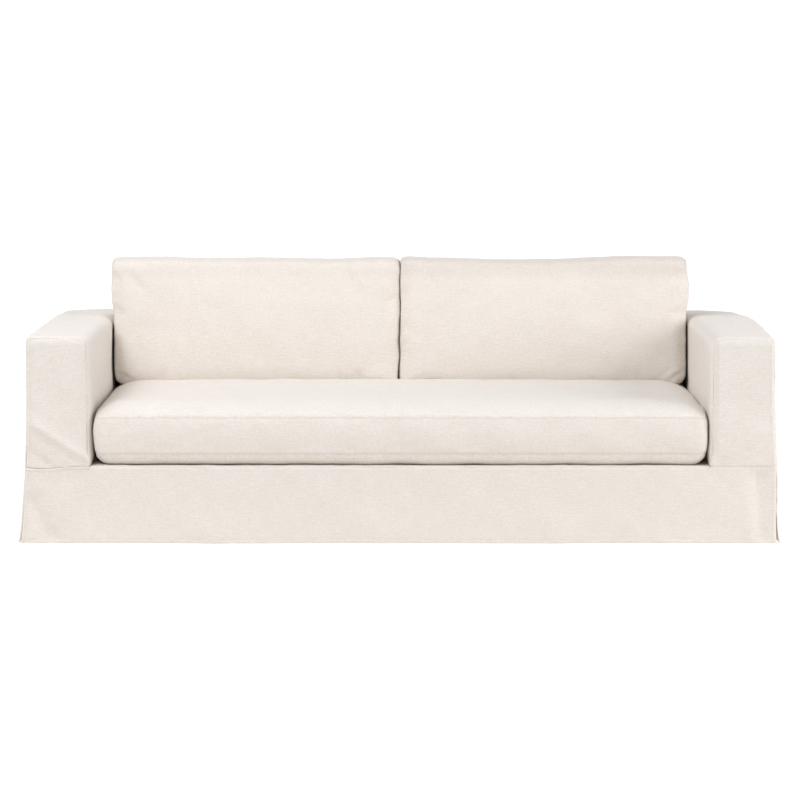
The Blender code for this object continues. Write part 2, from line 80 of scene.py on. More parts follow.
# How far each rounded edge reaches from where the sharp one would be.
EDGE_FRONT = 0.025
EDGE_TOP = 0.026
EDGE_SIDE = 0.022
EDGE_SIDE_REAR = 0.040
EDGE_REAR = 0.040
EDGE_INNER = 0.034
EDGE_INNER_FRONT = 0.027
INNER_SOFTENS = 0.100
EDGE_DECK = 0.010
EDGE_LEAST = 0.006
EDGE_FADE = 0.060
FAR = 9.0  # a bound so far off that nothing is rounded there
SOFTER_FROM = 0.2
SHARP_DEG = 50.0

# How the loose cloth hangs.
SIDE_FLARE = 0.028
SIDE_FLARE_CURVE = 1.1
FLARE_TOP = 0.480
FLARE_BY_MIDDLE = 0.5
FRONT_FLARE = 0.012
HEM_CURVE = 1.7
FRONT_DEPTH = 0.16
REAR_DEPTH = 0.10
SIDE_START = INNER + 0.02
ARM_BULGE = 0.013
BULGE_AT = 0.02
BULGE_HALF_LENGTH = 0.30
BULGE_LOW = 0.40
BULGE_FULL = 0.62
BULGE_RISE = 0.4
BULGE_RISE_AT = 1.14
BULGE_RISE_WIDTH = 0.08
# The padding of the arms, left and right: how far the sides stand out, between which heights
# that starts, what share of it is lost at the top of the front, and how far the tops rise.
ARM_STOUT = (0.0050, 0.0082)
STOUT_FROM = (0.36, 0.06)
STOUT_FULL = (0.50, 0.26)
STOUT_LESS = (0.70, 0.35)
LESS_FROM = 0.46
ARM_CROWN = (0.0088, 0.0055)
CROWN_FROM = 0.600
CROWN_FULL = 0.668
REAR_DROP = (0.0, 0.0030)  # how far the tops fall off to the rear
REAR_DROP_OUTER = (0.0058, 0.0055)  # and how much more at the outside
REAR_DROP_FROM = 0.12
OUTER_DROP_FROM = 1.06
CORNER_FLARE = (0.006, 0.003)
ARM_PAD_SEAT = (0.0056, 0.0034)  # how far the insides swell towards the seat cushion
ARM_PAD_BACK = 0.0042  # and towards a back cushion
# Where the padding starts or ends: in front beside either cushion, at the deck, between the
# cushions' heights, at the back, and across the arm.
PAD_SEAT_FRONT = (FRONT + 0.006, FRONT + 0.048)
PAD_BACK_FRONT = (0.02, 0.17)
PAD_LOW = (DECK, DECK + 0.03)
PAD_CHANGES = (0.46, 0.52)
PAD_REAR = (BACK_IN - 0.05, BACK_IN)
PAD_INSIDE = (INNER - 0.012, INNER - 0.004)
PAD_OUTSIDE = (INNER + 0.002, INNER + 0.05)
# Where the tops of the arms and of the back start, across and along.
ARM_TOP_STARTS = (INNER - 0.01, INNER + 0.05)
BACK_TOP_STARTS = (BACK_IN, BACK_IN + 0.05)
SEAM_SAG = 0.009
SAG_AT = -1.165
SAG_WIDTH = 0.06
SAG_HEIGHT = 0.09
HEM_WAVE = 0.003
HEM_LIFT = 0.003
LIFT_LENGTH_X = 0.9
LIFT_LENGTH_Y = 0.7
VENT_HEIGHT = 0.092
VENT_OPEN = 0.007
VENT_REACH = 0.12
VENT_SHOWS = (0.001, 0.009)  # how far the side stands out beside the front panel, left and right
VENT_SHOWS_HEIGHT = 1.3 * VENT_HEIGHT

# Each piece's seed, the right one of a pair having the next, and the distances between a
# panel's lines along u and v.
SEEDS = {
    "front_panel": 11, "deck": 12, "arm_front": 13, "inside_arm": 21, "outside_arm": 31,
    "inside_back": 41, "outside_back": 42, "seat_cushion": 51, "back_cushion": 61,
}
STEPS = {
    "front_panel": (0.009, 0.0085),
    "deck": (0.022, 0.022),
    "arm_front": (0.0065, 0.007),
    "inside_arm": (0.010, 0.009),
    "outside_arm": (0.011, 0.011),
    "inside_back": (0.017, 0.013),
    "outside_back": (0.0125, 0.012),
}
EDGE_SEED, NEXT_EDGE_SEED = 7, 31  # the first edge's seed past its panel's, and the step to the next
PROBE = 0.004  # how far apart the points are that tell which way a panel faces

# Waves of the hem, each as its length, shift and share.
FRONT_WAVES = ((0.83, 0.10, 0.5), (0.47, 0.35, 0.5))
SIDE_WAVES = ((0.52, 0.20, 0.6), (0.31, 0.60, 0.4))
REAR_WAVES = ((0.74, 0.55, 0.5), (0.41, 0.15, 0.5))

# Folds and creases in millimetres, each as its start, end, half width and height, in a panel's
# pattern coordinates.
FOLD_START = (-0.02, 0.03)  # a fold fades in between these distances from its ends
FRONT_FOLDS = (
    (-1215, 405, -1050, 275, 34, 5), (-1215, 335, -1120, 262, 34, -3), (-1040, 235, -1160, 190, 30, -3),
    (-1185, 170, -1120, 0, 35, -7), (1060, 275, 1190, 390, 32, 4), (1165, 240, 1185, 0, 32, -6),
    (-700, 80, -560, 0, 55, 4), (-180, 130, -20, 0, 60, 4), (420, 120, 560, 0, 55, 4),
    (850, 90, 930, 0, 50, -4),
)
FRONT_CREASES = (
    (-1196, 398, -1000, 262, 9, 4), (-1205, 376, -1050, 262, 11, -4), (-1200, 335, -1110, 262, 12, 2.2),
    (-1195, 305, -1135, 262, 10, -3), (-1205, 480, -1130, 415, 16, 1), (-1198, 155, -1128, 5, 16, -4.6),
    (-1165, 150, -1095, 10, 12, 1.6), (-1030, 238, -1120, 150, 13, -1.4),
    (-985, 238, -930, 160, 14, -1), (-620, 120, -535, 40, 13, 1.2), (300, 215, 380, 100, 16, -0.8),
    (700, 105, 790, 20, 14, 1), (1030, 238, 1105, 150, 13, -1.2), (1155, 236, 1172, 4, 15, -3.4),
    (1120, 190, 1140, 10, 15, 1.6), (1075, 285, 1180, 380, 12, 1.4), (1090, 270, 1190, 345, 12, -1.2),
)
ARM_CREASES = {
    "left": (
        (-470, 380, -330, 440, 20, 1.6), (-100, 400, 150, 432, 24, -1.4),
        (180, 150, 340, 330, 20, -1.8), (-300, 480, 50, 520, 30, 1.2), (50, 560, 420, 530, 26, -1.2),
    ),
    "right": (
        (-460, 400, -300, 436, 20, -1.4), (20, 390, 260, 436, 22, 1.6), (160, 180, 330, 300, 22, -1.6),
        (-380, 500, -50, 470, 28, 1.2), (-50, 590, 380, 550, 26, -1.2),
    ),
}
SIDE_CREASES = {
    "left": (
        (-430, 420, -400, 10, 24, -3), (-300, 300, -255, 0, 28, 3.4), (-120, 380, -60, 0, 22, -2.6),
        (60, 260, 110, 0, 26, 3), (230, 400, 240, 0, 22, -2.8), (400, 340, 420, 0, 24, 2.2),
    ),
    "right": (
        (-440, 360, -415, 10, 22, -2.8), (-270, 420, -240, 0, 26, 3), (-60, 300, -20, 0, 24, -2.8),
        (140, 380, 120, 0, 26, 3.2), (300, 260, 330, 0, 22, -2.6), (430, 400, 440, 0, 22, 2),
    ),
}
REAR_CREASES = (
    (-1120, 420, -1090, 0, 26, -3.2), (-860, 300, -800, 0, 30, 3.4), (-560, 360, -590, 0, 26, -2.8),
    (-230, 260, -160, 0, 30, 3), (120, 400, 90, 0, 26, -3), (430, 280, 480, 0, 30, 3.4),
    (780, 360, 750, 0, 26, -2.8), (1080, 420, 1110, 0, 26, 2.6),
)
BACK_CREASES = (
    (-960, 300, -700, 420, 22, -1.4), (940, 280, 700, 420, 22, -1.4), (-100, 400, 140, 440, 22, 1.4),
)

# Seams and stitched edges. A kind has its share of the seam's dip, the rise of the cloth over
# its folded allowance, and how much painted shade it gets in the seam.
SEAM_KINDS = {
    "sewn": (0.5, 0.0, 0.12),
    "topstitched": (0.4, 0.0010, 0.08),
    "tucked": (0.6, 0.0, 0.11),
    "lapped": (0.0, 0.0023, 0.0),
    "flat": (0.35, 0.0, 0.0),
    "hem": (0.0, 0.0012, 0.0),
}
SEAM_WIDTH = 0.0030  # half width of the dip along a seam
LAP = 0.0065  # width of a lapped seam's ridge
STITCH_DIP = 0.0011
STITCH_DIP_WIDTH = 0.0020
PAINTED_SHADE_WIDTH = 0.0018  # half width of the painted shade in a seam
PUCKER = 0.0007
PUCKER_REACH = 0.022
PUCKER_STARTS = (0.0, 0.006)
FOLD_RISES = (-0.001, 0.003)  # where the folded allowance lifts the cloth, from the seam
FOLD_ENDS = (-0.001, 0.002)  # and where that stops, from its stitching
UNEVEN = 0.0007
BESIDE_EDGE = (0.0012, 0.003, 0.0055, 0.009, 0.013, 0.0155, 0.0175, 0.0195, 0.024)
BESIDE_FOLD = (-0.008, -0.004, -0.0015, 0.0, 0.0015, 0.004, 0.008)
LEAST_STEP = 0.0011
THREAD_STANDS = 0.35  # the middle of a stitch stands off the cloth by this share of its thread
ROW_END = 0.004  # a row of stitches starts and ends this far from a seam
ROW_END_TOP = 0.006  # and this far from an arm's top or a corner

# Seat cushion.
SEAT_HALF_WIDTH = 1.0145
SEAT_SHIFT = 0.0028
SEAT_FRONT = -0.494
SEAT_REAR = 0.360
SEAT_REAR_MOST = SEAT_REAR + 0.006
SEAT_BOTTOM = 0.2554
SEAT_SEAM_LOW = 0.297
SEAT_SEAM_HIGH = 0.412
SEAT_CROWN = 0.039
SEAT_BELLY = 0.005
SEAT_SHOULDER = 0.110
SEAT_SHOULDER_REAR = 0.035
SEAT_CORNER = 0.032
SEAT_TAPER = 0.0085  # how much narrower each side is at the front
TAPER_DEPTH = 0.13
SEAT_BAND_SWELL = 0.0065
SEAT_UNDER = 0.062  # reach of the roll under the lower seam at the ends
SEAT_UNDER_FRONT = 0.024
UNDER_SQUARE = 1.3  # how square that roll is
SEAT_DRAWN_IN = 0.0015  # both seams lie this far inside the band
SEAT_STEP = 0.015
SEAT_HALF_DEPTH = (SEAT_REAR - SEAT_FRONT) / 2.0
SEAT_MIDDLE = (SEAT_REAR + SEAT_FRONT) / 2.0
SEAT_BAND = SEAT_SEAM_HIGH - SEAT_SEAM_LOW
PRESSED_FROM = 0.16  # behind this the back cushions press on the seat cushion
PRESSED_FULL = 0.20

# Back cushions.
BACK_HALF_WIDTH = 0.5025
BACK_MIDDLE = 0.5095
BACK_LOW = 0.4575
BACK_HIGH = 0.8755
BACK_SEAM_FRONT = 0.208
BACK_SEAM_REAR = 0.355
BACK_CROWN = 0.023
BACK_BELLY = 0.013
BACK_SHOULDER = 0.055
BACK_SHOULDER_INNER = 0.045
BACK_SHOULDER_HIGH = 0.028
BACK_SHOULDER_LOW = 0.022
BACK_SQUARE = 2.9
BACK_OVER_ARM = {"left": 0.004, "right": 0.007}
BESIDE_ARM = -0.0035
OVER_ARM_MOST = 0.012
OVER_ARM_START = ARM_TOP + 0.01
OVER_ARM_FULL = ARM_TOP + 0.07
BACK_DRAWN_IN = {"left": 0.002, "right": 0.011}
DRAWN_IN_START = 0.76
OUTER_END = 0.3
OUTER_FULL = 0.5
# How far the top line stands off straight, at even steps from the left end to the right.
BACK_TOPS = {
    "left": (0.000, 0.003, 0.003, -0.001, 0.000, 0.000, 0.001, -0.002, -0.003, 0.001, 0.001),
    "right": (0.005, 0.000, -0.003, -0.004, -0.006, -0.006, -0.003, 0.003, 0.006, 0.005, 0.002),
}
BACK_CORNER = 0.018
BACK_CORNER_LOW = 0.050  # the lower corner beside the arm
BACK_CORNER_INNER = 0.034  # the upper corner in the middle
BACK_LEAN = 0.110
BACK_FOOT = 0.030
TOP_WAVE_START = 0.62
TOUCH_GAP = 0.0012
BACK_BAND_SWELL = 0.0060
BACK_DRAWN = 0.0010  # the front and rear seams lie this far inside the cut size
BACK_STEP = 0.0098
BACK_HALF_UP = (BACK_HIGH - BACK_LOW) / 2.0
BACK_BAND = BACK_SEAM_REAR - BACK_SEAM_FRONT
# Creases on the fronts, as above, from the middle of each cushion.
BACK_FRONT_CREASES = {
    "left": (
        (-500, -160, -430, -185, 7, -3), (-500, -190, -440, -150, 7, 2.4),
        (-470, -205, -400, -170, 8, -2.6), (-430, -205, -330, -190, 9, -2),
        (-245, -215, -238, -165, 6, -3), (-10, -215, -16, -170, 6, -2.6),
        (300, -215, 292, -150, 7, -3.2), (320, -200, 440, -120, 16, -2),
        (-215, 205, -190, 110, 9, -2.2), (135, 205, 150, 130, 8, -2), (330, 205, 390, 110, 11, 1.8),
        (-470, 190, -380, 100, 14, -1.8),
    ),
    "right": (
        (505, -150, 430, -190, 8, -3.2), (500, -185, 420, -205, 8, 2.8), (470, -130, 370, -200, 12, -2),
        (330, -210, 250, -150, 12, -1.8), (-480, -200, -400, -160, 9, -2.2),
        (-120, -215, -110, -160, 7, -2.4), (120, -215, 110, -170, 7, -2),
        (-430, 205, -380, 120, 10, -2), (60, 205, 30, 120, 10, -1.8), (470, 180, 400, 80, 14, -1.8),
    ),
}
BACK_SINKS = 0.024  # how far the underside is pressed down onto the seat cushion
BACK_MEETS = 0.0115  # how far each cushion is pushed towards its neighbour
MEET_AT = -0.0028  # where they meet
SIDE_BY_SIDE = 0.0007  # half the least gap between the two back cushions
MEETING_WAVES = ((0.105, 0.20, 0.0042), (0.043, 0.55, 0.0012))  # along the depth
MEETING_RISES = ((0.170, 0.10, 0.0022), (0.083, 0.70, 0.0012))  # along the height
PAINTED_TOP_SHADE = (0.26, 0.40)  # painted shade on the back cushions' upper front edge, left and right
TOP_SHADE_FROM = 0.800
TOP_SHADE_FULL = 0.862
TOP_SHADE_LEVELS = (-0.4, 0.6)  # where it ends across the band
ARM_GAP = 0.0013  # least gap between a back cushion and an arm
ON_SEAM = 0.999  # the band's level from which a point belongs to a seam or a broad side
CREASED_FROM = 0.6  # the band's level from which creases show
CUSHION_EDGE = (0.0035, 0.0085, 0.016)
BAND_LEVELS = (0.30, 0.58, 0.78, 0.93)
SEAM_GROOVE_WIDTH = 0.0022
CUSHION_PUCKER_REACH = 0.020
SWELL_STARTS = (0.0, 0.02)
# Depth of the seams, their painted shade and the height of the puckers beside them.
SEWN = {"seat": (0.0011, 0.34, 0.0004), "back": (0.0005, 0.10, 0.0013)}
# Irregular swells, each as its longest and shortest wave and how many waves there are.
CLOTH_SWELL = (0.30, 0.05, 14)
SEAM_RIPPLE = (0.06, 0.016, 6)
CUSHION_RIPPLE = (0.075, 0.018, 7)
CUSHION_SWELL = (0.34, 0.06, 12)
CUSHION_UNEVEN = 0.0012

# How the filling works on the cushions' cloth.
FILL_FRAMES = 20
SEAT_LOOSE = (0.0, 0.3, 1.0)  # the share of the cloth's motion let through along each axis
BACK_LOOSE = (0.12, 1.0, 0.12)
FILLED_CLOTH = {
    "quality": 4,
    "mass": 0.35,
    "tension_stiffness": 18.0,
    "compression_stiffness": 12.0,
    "shear_stiffness": 6.0,
    "bending_stiffness": 0.6,
    "shrink_min": -0.025,  # the cover is cut larger than its pad by this share
    "use_pressure": True,
    "uniform_pressure_force": 4.0,
}

# Slubs: how often they change in a metre along the weft and the warp, and their shares in the
# tone and in the relief of the cloth. They are short ones, long ones and those of the warp.
SLUBS = (((110.0, 300.0), 0.46, 0.9), ((26.0, 270.0), 0.32, 0.7), ((340.0, 45.0), 0.12, 0.3))
BLOTCHES = (9.0, 0.10)  # how often they change in a metre, and their share in the tone
YARN_RELIEF = 0.35
WARP_PITCH = 1.15  # distance of the warp's yarns as a share of the weft's
# Shares of a cloth's colour in its darkest and lightest yarns, and under the painted shade deep in its
# seams.
DARK_YARN = (0.905, 0.885, 0.855)
LIGHT_YARN = (1.085, 1.10, 1.125)
PAINTED_SEAM_SHADE = (0.66, 0.62, 0.57)
YARN_TONES = (0.33, 0.67)  # the mixed noise's values there

# Camera and studio.
CAMERA_AT = (0.0, -9.095, 1.60)
CAMERA_PITCH_DEG = 7.455
CAMERA_LENS = 119.34
UNDERSIDE = (2.40, 0.95)  # a dark sheet of painted shade inside the cover, standing in for the shade where the sofa would keep light out
UNDERSIDE_AT = 0.03
SKY = 0.62  # strength of the world's light
BACKDROP = 1.2  # strength of the world as the camera sees it
LIGHTS = (
    ("top_light", (-2.6, -0.8, 5.0), 90.0),
    ("key_light", (-3.0, -3.5, 4.2), 143.0),
    ("side_light", (5.0, -2.0, 2.2), 164.0),
)
LIGHT_SIZE = 3.0
LIT_SPOT = (0.0, 0.0, 0.4)
FLOOR_RADIUS = 3.4
DAYLIGHT = (0.975, 1.0, 1.038)
FLOOR_GLOW = 0.84
FLOOR_TINT = (1.03, 0.99, 0.95)


def ease(value, start, stop):
    """0 up to start, 1 from stop on, and a smooth rise between."""
    share = np.clip((value - start) / (stop - start), 0.0, 1.0)
    return share * share * (3.0 - 2.0 * share)


def bump(value, half_width):
    """1 at zero, falling smoothly to nothing at about twice the half width."""
    return np.exp(-((value / half_width) ** 2))


def wave(along, waves):
    """A sum of sines, each given as its length, shift and share."""
    turns = [(share, along / length + shift) for length, shift, share in waves]
    return sum(share * np.sin(2.0 * math.pi * turn) for share, turn in turns)


def uneven(u, v, seed, longest, shortest, count):
    """A smooth, irregular swell between about -1 and 1, the same for the same seed."""
    draw = np.random.default_rng(seed)
    total = np.zeros_like(u)
    for length in np.geomspace(longest, shortest, count):
        turn, shift = draw.uniform(0.0, 2.0 * math.pi, 2)
        along = u * math.cos(turn) + v * math.sin(turn)
        total += length * np.sin(2.0 * math.pi * along / length + shift)
    return total / (0.5 * longest * math.sqrt(count))


def by_hand(right, pair):
    """The second number of a pair for points on the right, and the first for the others."""
    return np.where(right, pair[1], pair[0])


def creases(u, v, table):
    """How far the folds of a table stand out of a panel."""
    total = np.zeros_like(u)
    for row in table:
        u0, v0, u1, v1, half_width, height = np.array(row) / 1000.0
        length = math.hypot(u1 - u0, v1 - v0)
        along_u, along_v = (u1 - u0) / length, (v1 - v0) / length
        along = (u - u0) * along_u + (v - v0) * along_v
        across = (u - u0) * along_v - (v - v0) * along_u
        ends = ease(along, *FOLD_START) * ease(length - along, *FOLD_START)
        total += height * ends * bump(across, half_width)
    return total


# ------------------------------------------------------------------ the sofa's rounded form


def rounded(points, *limits):
    """Moves points of a sharp box's faces onto the rounded box, and gives the normals too.

    The limits are the box's low and high bounds and the roundings there, each as three numbers
    or arrays of numbers.
    """
    low, high, low_edge, high_edge = (
        np.stack([np.broadcast_to(value, len(points)) for value in limit], axis=1) for limit in limits
    )
    core = np.clip(points, low + low_edge, high - high_edge)
    edge = np.where(points > core, high_edge, low_edge)
    reach = np.where(points == core, 0.0, (points - core) / edge)
    reach /= np.linalg.norm(reach, axis=1, keepdims=True)
    normals = reach / edge
    normals /= np.linalg.norm(normals, axis=1, keepdims=True)
    return core + edge * reach, normals


def side_edge(y):
    """Rounding of the outer side edges, which is softer towards the back."""
    return EDGE_SIDE + (EDGE_SIDE_REAR - EDGE_SIDE) * ease(y, SOFTER_FROM, REAR - EDGE_REAR)


def inner_edge(y):
    """Rounding of an arm's inner edges, which is crisper at the front."""
    return EDGE_INNER_FRONT + (EDGE_INNER - EDGE_INNER_FRONT) * ease(y, FRONT, FRONT + INNER_SOFTENS)


def faded(size, distance):
    """A rounding that sharpens as the distance to an inside corner shrinks."""
    return np.maximum(size * ease(distance, 0.0, EDGE_FADE), EDGE_LEAST)


def arm_rule(points):
    """Bounds and roundings of an arm, for points with x counted from the middle."""
    x, y, z = points.T
    beside_back, by_inner = y > BACK_IN - 1e-6, x < INNER + EDGE_INNER
    to_rear, to_deck = BACK_IN - y, z - DECK
    inner = np.minimum(faded(inner_edge(y), to_rear), faded(inner_edge(y), to_deck))
    front = np.where(by_inner, faded(EDGE_FRONT, to_deck), EDGE_FRONT)
    top = np.where(by_inner & ~beside_back, faded(EDGE_TOP, to_rear), EDGE_TOP)
    low, high = (np.where(beside_back, -FAR, INNER), FRONT, -FAR), (OUTER, REAR, ARM_TOP)
    return low, high, (inner, front, EDGE_LEAST), (side_edge(y), EDGE_REAR, top)


def back_rule(points):
    """Bounds and roundings of the back."""
    x, y = points[:, 0], points[:, 1]
    inner = faded(EDGE_INNER, INNER - x)
    by_inner = (y < BACK_IN + EDGE_INNER) & (x < INNER)
    top = np.where(by_inner, np.minimum(inner, EDGE_TOP), EDGE_TOP)
    low, high = (-FAR, BACK_IN, -FAR), (OUTER, REAR, ARM_TOP)
    return low, high, (EDGE_LEAST, inner, EDGE_LEAST), (side_edge(y), EDGE_REAR, top)


def seat_rule(points):
    """Bounds and roundings of the front panel and the deck."""
    x, y, z = points.T
    under_cushion = x < INNER + 1e-6
    deck_edge = faded(EDGE_DECK, INNER - x)
    near_deck = under_cushion & (z > DECK - EDGE_DECK)
    front = np.where(near_deck, np.minimum(deck_edge, EDGE_FRONT), EDGE_FRONT)
    low, high = (-FAR, FRONT, -FAR), (OUTER, FAR, np.where(under_cushion, DECK, FAR))
    return low, high, (EDGE_LEAST, front, EDGE_LEAST), (side_edge(y), EDGE_REAR, deck_edge)


def arm_pad(x, y, z, right):
    """How far the padding swells the inside of an arm, beside the seat and the back cushions."""
    above_seat = ease(z, *PAD_CHANGES)
    by_seat = ease(y, *PAD_SEAT_FRONT) * ease(z, *PAD_LOW) * (1.0 - above_seat)
    by_back = ease(y, *PAD_BACK_FRONT) * (1.0 - ease(y, *PAD_REAR)) * above_seat
    at_edge = ease(x, *PAD_INSIDE) * (1.0 - ease(x, *PAD_OUTSIDE))
    return (by_hand(right, ARM_PAD_SEAT) * by_seat + ARM_PAD_BACK * by_back) * at_edge


def hang(points, cloth):
    """Lets the cover's points fall as loose cloth: flare, waves, folds and a sagging seam."""
    x, y, z = points.T.copy()
    by_side = ease(np.abs(x), SIDE_START, OUTER)
    by_front = 1.0 - ease(y, FRONT, FRONT + FRONT_DEPTH)
    by_rear = ease(y, REAR - REAR_DEPTH, REAR)
    drop = np.clip(1.0 - z / (DECK - cloth), 0.0, 1.0)
    flare = drop**HEM_CURVE

    by_corner = np.clip(np.abs(y) / REAR, 0.0, 1.0) ** 2
    out = SIDE_FLARE * np.clip(1.0 - z / FLARE_TOP, 0.0, 1.0) ** SIDE_FLARE_CURVE
    out = out * (FLARE_BY_MIDDLE + (1.0 - FLARE_BY_MIDDLE) * by_corner)
    out = out + HEM_WAVE * flare * wave(y, SIDE_WAVES) * (1.0 - by_front) * (1.0 - by_rear)
    right = x > 0.0
    swell = ARM_BULGE * bump(y - BULGE_AT, BULGE_HALF_LENGTH) * ease(z, BULGE_LOW, BULGE_FULL) * right
    stout = by_hand(right, ARM_STOUT) * ease(z, by_hand(right, STOUT_FROM), by_hand(right, STOUT_FULL))
    stout = stout * (1.0 - by_hand(right, STOUT_LESS) * ease(z, LESS_FROM, ARM_TOP) * by_front)
    corner = by_hand(right, CORNER_FLARE) * flare * by_front
    sideways = by_side * (out + swell + stout + corner) - arm_pad(np.abs(x), y, z, right)
    new_x = x + np.sign(x) * sideways

    forward = FRONT_FLARE * flare + HEM_WAVE * flare * wave(x, FRONT_WAVES) * (1.0 - by_side)
    backward = FRONT_FLARE * flare + HEM_WAVE * flare * wave(x, REAR_WAVES) * (1.0 - by_side)
    new_y = y - by_front * (forward + creases(x, z, FRONT_FOLDS)) + by_rear * backward

    sag = SEAM_SAG * bump(x - SAG_AT, SAG_WIDTH) * bump(z - DECK, SAG_HEIGHT) * by_front
    turns = x / LIFT_LENGTH_X + y / LIFT_LENGTH_Y
    lift = HEM_LIFT * drop * (0.5 + 0.5 * np.sin(2.0 * math.pi * turns))
    crown = swell * ease(z, BULGE_FULL, ARM_TOP) * bump(np.abs(x) - BULGE_RISE_AT, BULGE_RISE_WIDTH)
    on_top = np.maximum(ease(np.abs(x), *ARM_TOP_STARTS), ease(y, *BACK_TOP_STARTS))
    fall = by_hand(right, REAR_DROP_OUTER) * ease(np.abs(x), OUTER_DROP_FROM, OUTER)
    fall = (fall + by_hand(right, REAR_DROP)) * ease(y, REAR_DROP_FROM, REAR)
    raised = (by_hand(right, ARM_CROWN) - fall) * ease(z, CROWN_FROM, CROWN_FULL) * on_top
    return np.stack([new_x, new_y, z - sag + lift + BULGE_RISE * crown + raised], axis=1)


def part_front(points):
    """Draws in the front panel's lower corners, so that the sides show beside them."""
    x, y, z = points.T.copy()
    share = ease(np.abs(x), OUTER - VENT_REACH, OUTER) * np.clip(1.0 - z / VENT_SHOWS_HEIGHT, 0.0, 1.0)
    return np.stack([x - np.sign(x) * by_hand(x > 0.0, VENT_SHOWS) * share, y, z], axis=1)


def open_vents(points):
    """Parts the lower corners of an outside arm from the front and the back."""
    x, y, z = points.T.copy()
    share = np.clip(1.0 - z / VENT_HEIGHT, 0.0, 1.0) ** 2 * ease(np.abs(y), REAR - VENT_REACH, REAR)
    new_y = y - np.sign(y) * VENT_OPEN * share
    new_x = x + np.sign(x) * 0.5 * VENT_OPEN * share
    return np.stack([new_x, new_y, z], axis=1)


# ------------------------------------------------------------------ mesh helpers


def bare_object(name, points, faces):
    """A smooth-shaded object of the given points and faces, at the origin."""
    data = bpy.data.meshes.new(name)
    data.from_pydata((points + MIDDLE).tolist(), [], faces.tolist())
    data.validate()
    data.shade_smooth()
    thing = bpy.data.objects.new(name, data)
    bpy.context.scene.collection.objects.link(thing)
    return thing


def read(items, name, width=1, kind=float):
    """A number, or a row of them, for each of a mesh's items."""
    flat = np.empty(len(items) * width, dtype=kind)
    items.foreach_get(name, flat)
    return flat.reshape(-1, width) if width > 1 else flat


def places(thing):
    """The object's points, in the form's coordinates."""
    return read(thing.data.vertices, "co", 3) - MIDDLE


def move_to(thing, points):
    """Puts the object's points where the rows say, in the form's coordinates."""
    thing.data.vertices.foreach_set("co", (points + MIDDLE).ravel())
    thing.data.update()


def settle_modifier(thing, modifier):
    """Applies a modifier."""
    bpy.ops.object.select_all(action="DESELECT")
    bpy.context.view_layer.objects.active = thing
    thing.select_set(True)
    bpy.ops.object.modifier_apply(modifier=modifier.name)


def quads(across, along):
    """Faces of a grid whose points run along the second direction first."""
    i, j = np.meshgrid(np.arange(across - 1), np.arange(along - 1), indexing="ij")
    first = (i * along + j).ravel()
    return np.stack([first, first + along, first + along + 1, first + 1], axis=1)


def pattern_lines(start, stop, step, near=()):
    """Even lines between two places, with closer ones beside both ends and about other places."""
    even = np.linspace(start, stop, max(3, round((stop - start) / step) + 1))
    close = [start + d for d in BESIDE_EDGE] + [stop - d for d in BESIDE_EDGE]
    close += [place + d for place in near for d in BESIDE_FOLD]
    lines = [start]
    for line in np.sort(np.concatenate([even, close])):
        if line - lines[-1] >= LEAST_STEP and stop - line >= LEAST_STEP:
            lines.append(line)
    return np.array(lines + [stop])


def pattern_grid(piece, across, along, near=((), ())):
    """Both sets of lines of a panel, from where they start and stop and where they are closer."""
    return tuple(
        pattern_lines(*stretch, step, folds)
        for stretch, step, folds in zip((across, along), STEPS[piece], near)
    )


def map_pattern(thing, uv):
    """Lays the corners of the object's faces out as flat cloth."""
    thing.data.uv_layers.new(name="pattern").data.foreach_set("uv", uv.ravel())


def dress(thing, material, node=None):
    thing.data.materials.append(material)
    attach(thing, "root")
    if node:
        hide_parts(node)


# ------------------------------------------------------------------ cloth panels


